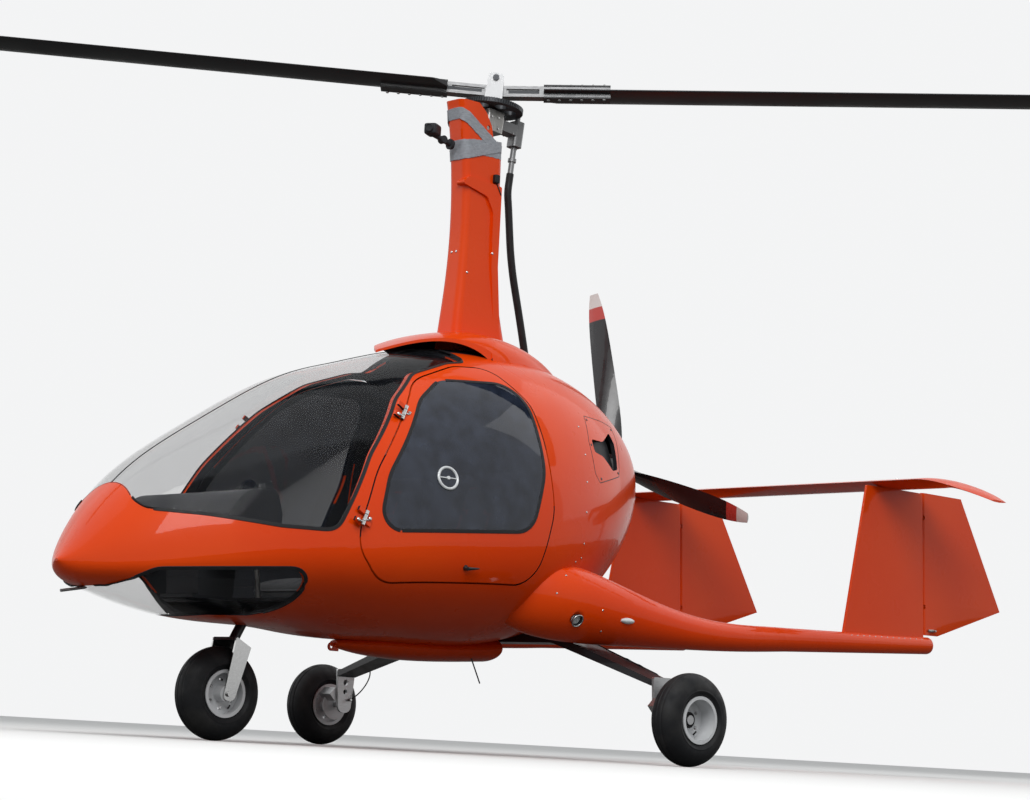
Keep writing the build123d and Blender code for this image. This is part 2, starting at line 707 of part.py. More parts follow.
def mast_and_scoop(outer, drive):
    rings, hollow = [], []
    for z, y, half_long, half_wide in MAST:
        plane = Plane(origin=(0, y, z), x_dir=(0, 1, 0), z_dir=(0, 0, 1))
        rings.append((plane * RectangleRounded(2 * half_long, 2 * half_wide, MAST_ROUND * half_wide)).wire())
        inner = (2 * (half_long - MAST_WALL), 2 * (half_wide - MAST_WALL))
        hollow.append((plane * RectangleRounded(*inner, MAST_ROUND * half_wide - MAST_WALL)).wire())
    column = Solid.make_loft(rings)
    high = MAST[-1][0]
    top_room = Pos(0, 0, MAST_FLOOR_Z + high / 2) * Box(2 * SIDE_REACH, 2 * SIDE_REACH, high)
    throat = Solid.make_loft(hollow[-3:]) & top_room
    back_room = side_prism(MAST_NOTCH)
    low, high = LEDGE_X
    ledge = extrude(rounded(LEDGE, lambda u, v: (low, u, v)), amount=high - low, dir=(1, 0, 0))
    mast = column + ledge - throat - back_room - outer - head_pivot(PIN_FIT)
    mast = max(mast.solids(), key=lambda s: s.volume)
    save(mast, "mast")

    cover = hood(0)
    mouth = hood(SCOOP_WALL) & slab(-SIDE_REACH, SCOOP_THROAT_Y)
    (side, side_y), (waist, waist_y), (_, front_y) = SCOOP_LIP
    reach = SCOOP_LIP_REACH
    lip = Wire([
        ThreePointArc((-side, side_y, 0), (-waist, waist_y, 0), (0, front_y, 0)),
        ThreePointArc((0, front_y, 0), (waist, waist_y, 0), (side, side_y, 0)),
        Line((side, side_y, 0), (reach, side_y, 0)),
        Line((reach, side_y, 0), (reach, SIDE_REACH, 0)),
        Line((reach, SIDE_REACH, 0), (-reach, SIDE_REACH, 0)),
        Line((-reach, SIDE_REACH, 0), (-reach, side_y, 0)),
        Line((-reach, side_y, 0), (-side, side_y, 0)),
    ])
    kept = Pos(0, 0, SCOOP_SINK) * extrude(Face(lip), amount=SIDE_REACH)
    scoop = (cover - mouth & kept) - outer - column - drive
    scoop = max(scoop.solids(), key=lambda s: s.volume)
    save(scoop, "mast_scoop")


def hood(inset):
    """A loft of arches standing on one level."""
    rings = []
    for y, half, top in SCOOP:
        reach = half - inset
        rise = top - inset
        foot, crown, other = (reach, y, SCOOP_SINK), (0, y, rise), (-reach, y, SCOOP_SINK)
        weights = [1, SCOOP_FULLNESS, 1]
        rings.append(Wire([
            Line(other, foot),
            Bezier(foot, (reach, y, rise), crown, weights=weights),
            Bezier(crown, (-reach, y, rise), other, weights=weights),
        ]))
    return Solid.make_loft(rings)


def spin_axis():
    return Vector(0, sin(radians(SPIN_TILT)), cos(radians(SPIN_TILT)))


def span_axis():
    return Vector(cos(radians(BLADE_AZIMUTH)), sin(radians(BLADE_AZIMUTH)), 0)


def tower_place():
    """Square to the tilted spin axis, with its x along the rotor's span."""
    axis, span = spin_axis(), span_axis()
    across = (span - axis * span.dot(axis)).normalized()
    return Plane(origin=(0, 0, TEETER_Z), x_dir=across, z_dir=axis).location


def seesaw_place():
    """The seesaw at rest, its span level."""
    axis, span = spin_axis(), span_axis()
    bolt = span.cross(axis).normalized()
    return Plane(origin=(0, 0, TEETER_Z), x_dir=span, z_dir=bolt.cross(span).normalized()).location


def head_place():
    """Square to the spin axis, with its x across the aircraft and its y aft."""
    return Plane(origin=(0, 0, TEETER_Z), x_dir=(1, 0, 0), z_dir=spin_axis()).location


def blade_ring(span_at):
    trail = BLADE_CHORD - BLADE_NOSE
    thick = BLADE_THICK / 2
    swell = BLADE_SWELL * BLADE_CHORD - BLADE_NOSE
    lip = BLADE_NOSE_SHARE * thick
    shoulder, edge = lip - BLADE_NOSE, BLADE_EDGE / 2
    return Wire([
        ThreePointArc((span_at, shoulder, -lip), (span_at, -BLADE_NOSE, 0), (span_at, shoulder, lip)),
        ThreePointArc((span_at, shoulder, lip), (span_at, swell, thick), (span_at, trail, edge)),
        Line((span_at, trail, edge), (span_at, trail, -edge)),
        ThreePointArc((span_at, trail, -edge), (span_at, swell, -thick), (span_at, shoulder, -lip)),
    ])


def arm_place(turn):
    """One arm of the seesaw: raised by the precone, with its x outward."""
    return seesaw_place() * Rot(0, 0, turn) * Rot(0, -PRECONE, 0) * Pos(0, 0, -BAR_DROP)


def toothed_ring():
    """The ring gear's outline, with straight-sided teeth."""
    pitch = 2 * pi / RING_TEETH
    points = []
    for tooth in range(RING_TEETH):
        for share, depth in RING_TOOTH:
            angle, reach = (tooth + share) * pitch, RING_RADIUS - depth
            points.append((reach * cos(angle), reach * sin(angle), 0))
    return Face(Wire([Line(a, b) for a, b in zip(points, points[1:] + points[:1])]))


def rotor():
    block_top = BAR_HEIGHT / 2 - BAR_DROP
    hub = Pos(0, 0, block_top / 2) * Box(
        TEETER_BLOCK_LENGTH, 2 * TEETER_BLOCK_HALF, BAR_HEIGHT / 2 - block_top)
    hub += Rot(90, 0, 0) * Cylinder(TEETER_BLOCK_LENGTH / 2, 2 * TEETER_BLOCK_HALF)
    hub -= Rot(90, 0, 0) * Cylinder(BOLT_RADIUS + PIN_FIT, BLADE_CHORD)
    hub = seesaw_place() * hub
    groove_from, groove_to = TEETER_BLOCK_LENGTH / 2 + BAR_GROOVE_END, BLADE_START - BAR_GROOVE_END
    blade = Solid.make_loft([blade_ring(BLADE_START), blade_ring(BLADE_TIP)], ruled=True)
    slot_from, slot_to = BLADE_START - 1, BAR_HALF_LENGTH + FIT
    blade -= Pos((slot_from + slot_to) / 2, 0, 0) * Box(
        slot_to - slot_from, BAR_WIDTH + 2 * FIT, 2 * BLADE_THICK)
    corner = (BLADE_START, BLADE_CHORD - BLADE_NOSE, 0)
    blade -= Pos(*corner) * Rot(0, 0, 45) * Box(BLADE_CORNER, BLADE_CORNER, 2 * BLADE_THICK)
    blade = max(blade.solids(), key=lambda s: s.volume)
    straps = []
    for name, turn in (("blade_aft", 0), ("blade_fore", HALF_TURN)):
        arm = Pos((BAR_HALF_LENGTH - BAR_OVERLAP) / 2, 0, 0) * Box(
            BAR_HALF_LENGTH + BAR_OVERLAP, BAR_WIDTH, BAR_HEIGHT)
        for face in (1, -1):
            arm -= Pos((groove_from + groove_to) / 2, face * BAR_WIDTH / 2, 0) * Box(
                groove_to - groove_from, 2 * BAR_GROOVE_DEPTH, BAR_GROOVE_WIDTH)
            strap = Pos((BLADE_START + GRIP_END) / 2, 0, face * (BAR_HEIGHT + GRIP_PLATE) / 2) * Box(
                GRIP_END - BLADE_START, GRIP_WIDTH, GRIP_PLATE)
            straps.append(arm_place(turn) * strap)
        hub += arm_place(turn) * arm
        save(arm_place(turn) * blade, name)
    save(hub, "hub_bar")
    save(Compound(straps), "blade_grips")

    cheek_at = TEETER_BLOCK_HALF + TOWER_GAP + TOWER_CHEEK / 2
    foot, top = TOWER_FOOT_WIDTH / 2, TOWER_TOP_WIDTH / 2
    cheek = [
        (-foot, -RING_TOP_DROP, 2), (-top, TOWER_TOP, TOWER_ROUND), (top, TOWER_TOP, TOWER_ROUND),
        (foot, -RING_TOP_DROP, 2),
    ]
    tower = Pos(0, 0, TOWER_BASE / 2 - RING_TOP_DROP) * Box(
        TOWER_FOOT_WIDTH, 2 * cheek_at + TOWER_CHEEK, TOWER_BASE)
    for side in (1, -1):
        face = rounded(cheek, lambda u, v: (u, side * cheek_at - TOWER_CHEEK / 2, v))
        tower += extrude(face, amount=TOWER_CHEEK, dir=(0, 1, 0))
    bolt = Rot(90, 0, 0) * Cylinder(BOLT_RADIUS, 2 * cheek_at + TOWER_CHEEK)
    tower -= bolt
    for side in (1, -1):
        bolt += Pos(0, side * (cheek_at + TOWER_CHEEK / 2 + BOLT_HEAD / 2), 0) * Rot(90, 0, 0) * Cylinder(
            BOLT_RADIUS + BOLT_HEAD_LIP, BOLT_HEAD)
    save(tower_place() * tower, "rotor_tower")
    save(tower_place() * bolt, "teeter_bolt")

    ring = extrude(Pos(0, 0, -RING_TOP_DROP) * toothed_ring(), amount=-RING_THICK)
    holes_at = (RING_RADIUS + SHAFT_RADIUS) / 2
    for spot in PolarLocations(holes_at, RING_HOLES):
        ring -= Pos(0, 0, -RING_TOP_DROP - RING_THICK / 2) * spot * Cylinder(RING_HOLE_RADIUS, 2 * RING_THICK)
    stub_top = RING_TOP_DROP + RING_THICK
    stub = stub_top + HEAD_GAP + SHAFT_DEPTH
    ring += Pos(0, 0, -(stub_top + stub) / 2) * Cylinder(SHAFT_RADIUS, stub - stub_top)
    save(tower_place() * ring, "ring_gear")


def head_pivot(ease=0.0, length=None):
    """The cross pin that carries the rotor head in the top of the mast."""
    mast_half = max(half for z, y, long, half in MAST[-2:])
    reach = length or 2 * (mast_half + MAST_WALL)
    return Pos(0, PIVOT_Y, PIVOT_Z) * Rot(0, 90, 0) * Cylinder(PIVOT_RADIUS + ease, reach)


def rotor_head():
    head_top = RING_TOP_DROP + RING_THICK + HEAD_GAP
    wide, long, high = HEAD_BLOCK
    block = Pos(0, 0, -head_top - high / 2) * Box(wide, long, high)
    block -= Pos(0, 0, -head_top) * Cylinder(SHAFT_RADIUS + PIN_FIT, 2 * (SHAFT_DEPTH + SHAFT_END_GAP))
    block = fillet(block.edges().filter_by(Axis.Z).filter_by(lambda e: e.length > high - 1), HEAD_ROUND)
    lug = Rot(0, 90, 0) * Cylinder(PIVOT_LUG, wide)
    lug += Pos(0, PIVOT_LUG, 0) * Box(wide, 2 * PIVOT_LUG, 2 * PIVOT_LUG)
    block = head_place() * block + Pos(0, PIVOT_Y, PIVOT_Z) * lug - head_pivot(PIN_FIT)
    save(block, "rotor_head")
    save(head_pivot(0, 2 * PIVOT_HALF), "head_pivot")

    pinion_at = RING_RADIUS + PINION_GAP + PINION_RADIUS
    box_wide, box_long, box_high = GEARBOX
    gearbox = Pos(0, pinion_at, -head_top - box_high / 2) * Box(box_wide, box_long, box_high)
    gearbox = fillet(gearbox.edges().filter_by(Axis.Z), GEARBOX_ROUND)
    gearbox += Pos(0, pinion_at, -RING_TOP_DROP - (head_top - RING_TOP_DROP) / 2) * Cylinder(
        PINION_RADIUS, head_top - RING_TOP_DROP)
    arm_from, arm_to = long / 2, pinion_at - box_long / 2 + GEARBOX_ARM_SINK
    gearbox += Pos(0, (arm_from + arm_to) / 2, -head_top - high / 2) * Box(
        GEARBOX_ARM, arm_to - arm_from, high / 2)
    gearbox += Pos(0, pinion_at, -head_top - box_high - COUPLING_LENGTH / 2) * (
        Cylinder(COUPLING_RADIUS, COUPLING_LENGTH) + Cylinder(CLAMP_RADIUS, CLAMP_LENGTH))
    save(head_place() * gearbox, "drive_gearbox")


def drive_shaft():
    """The flexible drive: straight runs joined by tangent arcs, from the coupling to the roof."""
    head_top = RING_TOP_DROP + RING_THICK + HEAD_GAP
    local = Vector(0, RING_RADIUS + PINION_GAP + PINION_RADIUS, -head_top - GEARBOX[2] - COUPLING_LENGTH)
    start = (head_place() * Location(local - Vector(0, 0, FIT))).position
    lead = (head_place() * Location(local - Vector(0, 0, DRIVE_LEAD))).position
    points = [start, lead] + [Vector(*p) for p in DRIVE_ROUTE]
    radii = bend_radii(points)
    path = FilletPolyline(*points, radius=radii)
    profile = Plane(origin=start, z_dir=path % 0) * Circle(DRIVE_RADIUS)
    return sweep(profile, path=path)


def bend_radii(points):
    radii = []
    for before, here, after in zip(points, points[1:], points[2:]):
        one, two = before - here, after - here
        half_turn = radians(HALF_TURN - one.get_angle(two)) / 2
        radii.append(BEND_SHARE * min(one.length, two.length) * cos(half_turn) / sin(half_turn))
    print("drive shaft bends", [round(r) for r in radii])
    return radii


def wheel_profile():
    """The tyre's section in the plane of X and radius: a round crown on straighter sides."""
    bead, half = RIM_RADIUS + FIT, TYRE_WIDTH / 2
    waist = TYRE_RADIUS - half
    diagonal = half * cos(radians(45))
    edges = [
        Line((-TYRE_BEAD, 0, bead), (TYRE_BEAD, 0, bead)),
        ThreePointArc((TYRE_BEAD, 0, bead), (half - TYRE_SIDE_SINK, 0, (bead + waist) / 2), (half, 0, waist)),
        ThreePointArc((half, 0, waist), (diagonal, 0, waist + diagonal), (0, 0, TYRE_RADIUS)),
        ThreePointArc((0, 0, TYRE_RADIUS), (-diagonal, 0, waist + diagonal), (-half, 0, waist)),
        ThreePointArc((-half, 0, waist), (TYRE_SIDE_SINK - half, 0, (bead + waist) / 2),
                      (-TYRE_BEAD, 0, bead)),
    ]
    return Face(Wire(edges))


def rod_solid(x_from, x_to, radius):
    return Pos((x_from + x_to) / 2, 0, 0) * Rot(0, 90, 0) * Cylinder(radius, x_to - x_from)


def ring_solid(x_from, x_to, inner, outer):
    return rod_solid(x_from, x_to, outer) - rod_solid(x_from - 1, x_to + 1, inner)


def wheel(place, web_x, hub_from, hub_to, disc_x=None):
    """A tyre and its rim about the X axis, and a brake disc where there is one."""
    tyre = revolve(wheel_profile(), Axis.X)
    rim = ring_solid(-RIM_HALF_WIDTH, RIM_HALF_WIDTH, RIM_RADIUS - RIM_WALL, RIM_RADIUS)
    for side in (1, -1):
        edge = side * RIM_HALF_WIDTH
        rim += ring_solid(min(edge, edge + side * RIM_FLANGE), max(edge, edge + side * RIM_FLANGE),
                          RIM_RADIUS - RIM_WALL, RIM_RADIUS + RIM_FLANGE)
    web = ring_solid(
        web_x - RIM_WEB / 2, web_x + RIM_WEB / 2, HUB_RADIUS - RIM_SINK, RIM_RADIUS - RIM_WALL + RIM_SINK)
    for spot in PolarLocations((HUB_RADIUS + RIM_RADIUS - RIM_WALL) / 2, RIM_HOLES):
        web -= Pos(web_x, 0, 0) * Rot(0, 90, 0) * spot * Cylinder(RIM_HOLE_RADIUS, 2 * RIM_WEB)
    rim += web
    rim += ring_solid(hub_from, hub_to, AXLE_RADIUS + AXLE_FIT, HUB_RADIUS)
    if disc_x is not None:
        rim += ring_solid(
            disc_x - DISC_THICK / 2, disc_x + DISC_THICK / 2, AXLE_RADIUS + AXLE_FIT, DISC_RADIUS)
        rim += ring_solid(disc_x, hub_from + RIM_SINK, AXLE_RADIUS + AXLE_FIT, HUB_RADIUS)
    return place * tyre, place * rim


def main_gear(bow):
    save(bow, "gear_bow")
    plate_out = BOW_END_X + BRACKET_THICK
    disc_at = plate_out + DISC_OFF + DISC_THICK / 2
    hub_from = disc_at + DISC_TO_HUB
    hub_to = MAIN_HALF_TRACK + HUB_OUTER
    axle = Pos(0, MAIN_AXLE_Y, TYRE_RADIUS)
    half = BRACKET_WIDTH / 2
    high = BOW_END_Z + BOW_THICK_END / 2 + BRACKET_LIP
    corners = [
        (MAIN_AXLE_Y - half, high, BRACKET_ROUND), (MAIN_AXLE_Y + half, high, BRACKET_ROUND),
        (MAIN_AXLE_Y + BRACKET_FOOT, TYRE_RADIUS - BRACKET_FOOT, BRACKET_FOOT - 2),
        (MAIN_AXLE_Y - BRACKET_FOOT, TYRE_RADIUS - BRACKET_FOOT, BRACKET_FOOT - 2),
    ]
    bracket = extrude(rounded(corners, lambda u, v: (BOW_END_X, u, v)), amount=BRACKET_THICK, dir=(1, 0, 0))
    for z, radius in BRACKET_HOLES:
        bracket -= Pos(BOW_END_X, MAIN_AXLE_Y, z) * Rot(0, 90, 0) * Cylinder(radius, 4 * BRACKET_THICK)
    bracket += axle * rod_solid(BOW_END_X, hub_to + 2 * AXLE_NUT_GAP, AXLE_RADIUS)
    nut_at = hub_to + AXLE_NUT_GAP
    bracket += axle * rod_solid(nut_at, nut_at + AXLE_NUT, AXLE_RADIUS + AXLE_NUT_LIP)
    wide, tall = CALIPER
    reach = disc_at + CALIPER_PAST_DISC - plate_out
    caliper = Pos(plate_out + reach / 2, 0, 0) * Rot(CALIPER_TURN, 0, 0) * Pos(0, 0, DISC_RADIUS) * Box(
        reach, wide, tall)
    caliper -= ring_solid(disc_at - DISC_THICK / 2 - BRAKE_GAP, disc_at + DISC_THICK / 2 + BRAKE_GAP, 1,
                          DISC_RADIUS + BRAKE_GAP)
    bracket += axle * caliper
    both_sides(bracket, "wheel_bracket")
    tyre, rim = wheel(Pos(MAIN_HALF_TRACK, MAIN_AXLE_Y, TYRE_RADIUS), MAIN_WEB_X,
                      hub_from - MAIN_HALF_TRACK, HUB_OUTER, disc_at - MAIN_HALF_TRACK)
    both_sides(tyre, "main_tyre")
    both_sides(rim, "main_rim")


def steer_place():
    lean = radians(NOSE_RAKE)
    return Plane(origin=(0, *STEER_FOOT), x_dir=(1, 0, 0), z_dir=(0, sin(lean), cos(lean))).location


def nose_gear():
    place = steer_place()
    tube = place * Pos(0, 0, LEG_TUBE_LENGTH / 2 + CROWN_GAP) * (
        Cylinder(LEG_RADIUS, LEG_TUBE_LENGTH) - Cylinder(STEM_RADIUS + PIN_FIT, 2 * LEG_TUBE_LENGTH))
    under_floor = Pos(0, 0, FLOOR_Z - FIT - SIDE_REACH) * Box(2 * SIDE_REACH, 4 * SIDE_REACH, 2 * SIDE_REACH)
    save(tube & under_floor, "nose_leg")

    inner_gap = TYRE_WIDTH / 2 + FORK_GAP
    outer_x = inner_gap + FORK_PLATE
    crown = place * (Pos(0, 0, -CROWN_THICK / 2) * Box(2 * inner_gap, CROWN_DEPTH, CROWN_THICK))
    stem = place * (Pos(0, 0, STEM_LENGTH / 2 - 1) * Cylinder(STEM_RADIUS, STEM_LENGTH + 2))
    lean = radians(NOSE_RAKE)
    along = (cos(lean), -sin(lean))
    foot_y, foot_z = STEER_FOOT
    half = CROWN_DEPTH / 2
    plate = [
        (foot_y - along[0] * half, foot_z - along[1] * half, CROWN_ROUND),
        (foot_y + along[0] * half, foot_z + along[1] * half, CROWN_ROUND),
        (NOSE_AXLE_Y + FORK_FOOT, TYRE_RADIUS - FORK_FOOT, FORK_FOOT - 2),
        (NOSE_AXLE_Y - FORK_FOOT, TYRE_RADIUS - FORK_FOOT, FORK_FOOT - 2),
    ]
    side = extrude(rounded(plate, lambda u, v: (inner_gap, u, v)), amount=FORK_PLATE, dir=(1, 0, 0))
    axle = Pos(0, NOSE_AXLE_Y, TYRE_RADIUS) * rod_solid(-outer_x - AXLE_NUT, outer_x + AXLE_NUT, AXLE_RADIUS)
    save(crown + stem, "fork_crown")
    save(side + mirrored(side) + axle, "nose_fork")
    hub = TYRE_WIDTH / 2 + FORK_GAP - HUB_END_GAP
    tyre, rim = wheel(Pos(0, NOSE_AXLE_Y, TYRE_RADIUS), NOSE_WEB_X, -hub, hub)
    save(tyre, "nose_tyre")
    save(rim, "nose_rim")


def leg_hole():
    return steer_place() * Pos(0, 0, LEG_TUBE_LENGTH / 2) * Cylinder(LEG_RADIUS + FIT, 3 * LEG_TUBE_LENGTH)


def propeller():
    hub = Pos(0, 0, PROP_HUB_DEPTH / 2) * Cylinder(PROP_HUB_RADIUS, PROP_HUB_DEPTH)
    hub = fillet(hub.edges().sort_by(Axis.Z)[-1], PROP_HUB_ROUND)
    hub += Pos(0, 0, -PROP_SHAFT_LENGTH / 2 + 1) * Cylinder(PROP_SHAFT_RADIUS, PROP_SHAFT_LENGTH + 2)
    blades = []
    for i in range(PROP_BLADES):
        rings = []
        for reach, chord, thick, pitch in PROP_SECTIONS:
            base = Pos(0, 0, reach) * Rot(0, 0, pitch)
            crest = PROP_CREST * chord
            rings.append(base * Wire([
                ThreePointArc((-chord / 2, 0, 0), (crest, thick, 0), (chord / 2, 0, 0)),
                ThreePointArc((chord / 2, 0, 0), (crest, -PROP_UNDER * thick, 0), (-chord / 2, 0, 0)),
            ]))
        blade = Solid.make_loft(rings)
        blades.append(Rot(0, PROP_START + 2 * HALF_TURN * i / PROP_BLADES, 0) * blade)
    place = Pos(0, PROP_Y, PROP_Z)
    stand = Rot(-90, 0, 0)
    save(place * stand * Pos(0, 0, -PROP_HUB_DEPTH / 2) * hub, "propeller_hub")
    core = place * stand * Cylinder(PROP_HUB_RADIUS, PROP_HUB_DEPTH)
    save(Compound([s for b in blades for s in (place * b - core).solids()]), "propeller_blades")


def engine():
    block = Pos(*ENGINE_MIDDLE) * Box(*ENGINE)
    long = ENGINE[1]
    front = ENGINE_MIDDLE[1] - long / 2
    for side in (1, -1):
        for level in (1, -1):
            spot = (side * ENGINE_TUBE_X, (FIREWALL_Y + front) / 2, ENGINE_MIDDLE[2] + level * ENGINE_TUBE_Z)
            block += Pos(*spot) * Rot(90, 0, 0) * Cylinder(ENGINE_TUBE_RADIUS, front - FIREWALL_Y)
    back = ENGINE_MIDDLE[1] + long / 2
    shaft_front = PROP_Y - PROP_HUB_DEPTH / 2 - PROP_SHAFT_LENGTH
    case_end = shaft_front + PROP_SHAFT_LENGTH - PROP_CASE_GAP
    case = Pos(0, (back + case_end) / 2, PROP_Z) * Rot(90, 0, 0) * Cylinder(PROP_CASE_RADIUS, case_end - back)
    flange = Pos(0, back + PROP_FLANGE / 2, (PROP_Z + ENGINE_MIDDLE[2]) / 2) * Box(
        2 * PROP_CASE_RADIUS, PROP_FLANGE, PROP_Z - ENGINE_MIDDLE[2] + 2 * PROP_CASE_RADIUS)
    bore = Pos(0, (shaft_front - PROP_CASE_GAP + SIDE_REACH) / 2, PROP_Z) * Rot(90, 0, 0) * Cylinder(
        PROP_SHAFT_RADIUS + PIN_FIT, SIDE_REACH - shaft_front + PROP_CASE_GAP)
    save(block + flange + case - bore, "engine_block")


def cabin():
    room = body(WALL + FIT, HOLLOW_FROM)
    front, back = CABIN_FLOOR_Y
    level = FLOOR_Z + FLOOR_THICK / 2
    plate = Pos(0, (front + back) / 2, level) * Box(2 * SIDE_REACH, back - front, FLOOR_THICK)
    plate += Pos(0, (CONSOLE_FRONT_Y + back) / 2, level) * Box(
        CONSOLE_WIDTH, back - CONSOLE_FRONT_Y, FLOOR_THICK)
    floor = room & plate
    save(floor, "cabin_floor")
    for corners, name in ((CUSHION, "seat_cushions"), (BACK_REST, "seat_backs")):
        solids = []
        for side in (1, -1):
            face = rounded(corners, lambda u, v: (side * SEAT_X - SEAT_WIDTH / 2, u, v))
            seat = extrude(face, amount=SEAT_WIDTH, dir=(1, 0, 0)) & room
            solids.append(max(seat.solids(), key=lambda s: s.volume))
        save(Compound(solids), name)
    face = rounded(PANEL, lambda u, v: (-PANEL_WIDTH / 2, u, v))
    panel = extrude(face, amount=PANEL_WIDTH, dir=(1, 0, 0))
    gap, low = (PANEL_WIDTH - CONSOLE_WIDTH) / 2, FURNITURE_Z
    for side in (1, -1):
        panel -= Pos(side * (CONSOLE_WIDTH + gap) / 2, CONSOLE_FRONT_Y, (low + PANEL_LOW_Z) / 2) * Box(
            gap, SIDE_REACH, PANEL_LOW_Z - low)
    save(panel & room, "instrument_panel")
    sticks = []
    for side in (1, -1):
        stick = Pos(side * SEAT_X, STICK_Y, low + STICK_LENGTH / 2) * Rot(STICK_LEAN, 0, 0) * Cylinder(
            STICK_RADIUS, STICK_LENGTH)
        over_floor = Pos(side * SEAT_X, STICK_Y, low + STICK_LENGTH) * Box(
            STICK_LENGTH, STICK_LENGTH, 2 * STICK_LENGTH)
        sticks.append((stick & over_floor).solid())
    save(Compound(sticks), "control_sticks")


def belly(outer, slot):
    pod = ellipse_loft(BELLY) - outer - slot
    pod = max(pod.solids(), key=lambda s: s.volume)
    place = Pos(0, TOW_EYE_Y, TOW_EYE_Z) * Rot(0, 90, 0)
    eye = place * (Cylinder(TOW_EYE_OUTER, TOW_EYE_THICK) + Pos(0, TOW_EYE_OUTER, 0) * Box(
        2 * TOW_EYE_OUTER, 2 * TOW_EYE_OUTER, TOW_EYE_THICK))
    bore = place * Cylinder(TOW_EYE_RADIUS, TOW_EYE_ROOM)
    save(pod + (eye - outer) - bore, "belly_fairing")
    return pod


if __name__ == "__main__":
    bow = gear_bow()
    slot = bow_clearance()
    drive = drive_shaft()
    outer = fuselage(slot)
    boom = booms(outer, slot)
    tail(boom)
    mast_and_scoop(outer, drive)
    rotor()
    rotor_head()
    shaft = drive - outer
    save(max(shaft.solids(), key=lambda s: s.volume), "drive_shaft")
    main_gear(bow)
    nose_gear()
    propeller()
    engine()
    cabin()
    pod = belly(outer, slot)
    small_fittings(outer, pod)
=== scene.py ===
import json
from functools import reduce
from math import cos, radians, sin

import bmesh
import bpy
import numpy as np
from mathutils import Matrix, Vector
from mathutils.bvhtree import BVHTree


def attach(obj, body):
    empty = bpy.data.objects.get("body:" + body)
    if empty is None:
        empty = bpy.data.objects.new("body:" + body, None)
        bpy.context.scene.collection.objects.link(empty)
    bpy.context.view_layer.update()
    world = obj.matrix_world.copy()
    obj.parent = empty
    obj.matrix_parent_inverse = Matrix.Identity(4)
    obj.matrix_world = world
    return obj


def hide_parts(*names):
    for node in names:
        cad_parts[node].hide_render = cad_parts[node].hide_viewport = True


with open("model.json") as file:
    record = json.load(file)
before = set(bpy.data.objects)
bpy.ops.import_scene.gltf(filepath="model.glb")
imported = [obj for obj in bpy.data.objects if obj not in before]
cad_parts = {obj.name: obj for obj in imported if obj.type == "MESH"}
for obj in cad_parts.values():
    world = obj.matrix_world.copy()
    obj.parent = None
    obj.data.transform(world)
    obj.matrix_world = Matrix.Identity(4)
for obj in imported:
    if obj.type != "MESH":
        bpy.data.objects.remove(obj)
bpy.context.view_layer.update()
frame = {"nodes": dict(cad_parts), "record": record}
nodes = frame["nodes"]
print("frame loaded:", len(nodes), "CAD nodes")


def stand(name, data):
    # an object with this data, in the scene
    thing = bpy.data.objects.new(name, data)
    bpy.context.scene.collection.objects.link(thing)
    return thing


# camera: the photo's direction, lowered no further than the floor
photoCamera = dict(
    azimuth=49.28,     # degrees from straight ahead, towards the aircraft's left
    roll=3.2,
    distance=11.33,    # metres on the floor from the rotor's middle
    height=0.06,
    lens=90.0, sensor=36.0, farthest=200.0,
    aimSide=0.165,     # metres across the view at the rotor's middle
    aimHeight=1.565,
)


def placeCamera(s):
    # place = distance from the rotor's middle at the azimuth; it looks at the aim, rolled about that line
    data = bpy.data.cameras.new("photoCamera")
    data.lens, data.sensor_width, data.clip_end = s["lens"], s["sensor"], s["farthest"]
    az, roll = radians(s["azimuth"]), radians(s["roll"])
    place = Vector((sin(az) * s["distance"], -cos(az) * s["distance"], s["height"]))
    aim = Vector((0, 0, s["aimHeight"])) + Vector((cos(az), sin(az), 0)) * s["aimSide"]
    back = (place - aim).normalized()
    right = (-back).cross(Vector((0, 0, 1))).normalized()
    up = right.cross(-back)
    turn = Matrix((right * cos(roll) + up * sin(roll), up * cos(roll) - right * sin(roll), back))
    camera = stand("photoCamera", data)
    camera.matrix_world = Matrix.Translation(place) @ turn.transposed().to_4x4()
    bpy.context.scene.camera = camera


# lights: a large soft key from high on the left, two weak fills, and a pale overcast world
studio = dict(
    lamps=[  # name, place, aim, size, power
        ("keyLight", (6.5, -6.5, 8.5), (0, -0.3, 1.2), 6.0, 780),
        ("fillLight", (-6.0, -5.0, 4.5), (0, 0, 1.2), 8.0, 90),
        ("rearLight", (2.0, 8.0, 6.0), (0, 0.5, 1.3), 8.0, 160),
    ],
    skyColour=(0.96, 0.98, 1.0), skyLight=0.50, skyShown=(0.90, 0.905, 0.91),
    floorReach=60.0, floorLit=(0.15, 0.15, 0.145), floorShown=(0.84, 0.84, 0.83), floorRoughness=0.95,
    floorSpecular=0.1,
)


def reckon(tree, operation, *values):
    # a math node over sockets and numbers
    node = tree.nodes.new("ShaderNodeMath")
    node.operation = operation
    for socket, value in zip(node.inputs, values):
        if isinstance(value, (int, float)):
            socket.default_value = value
        else:
            tree.links.new(value, socket)
    return node.outputs[0]


def anyOf(tree, sockets):
    # the greatest: 1 where any of them is 1
    return reduce(lambda a, b: reckon(tree, "MAXIMUM", a, b), sockets)


def allOf(tree, sockets):
    # the product: 1 where all of them are 1
    return reduce(lambda a, b: reckon(tree, "MULTIPLY", a, b), sockets)


def fill(node, numbers):
    # numbers and colours on a node's own sockets
    for key, number in numbers.items():
        node.inputs[key].default_value = number


def feed(tree, key, socket):
    # a link into the surface shader
    tree.links.new(socket, tree.nodes["Principled BSDF"].inputs[key])


def rayIs(tree, *kinds):
    # 1 for rays of these kinds
    path = tree.nodes.new("ShaderNodeLightPath")
    return anyOf(tree, [path.outputs[f"Is {kind} Ray"] for kind in kinds])


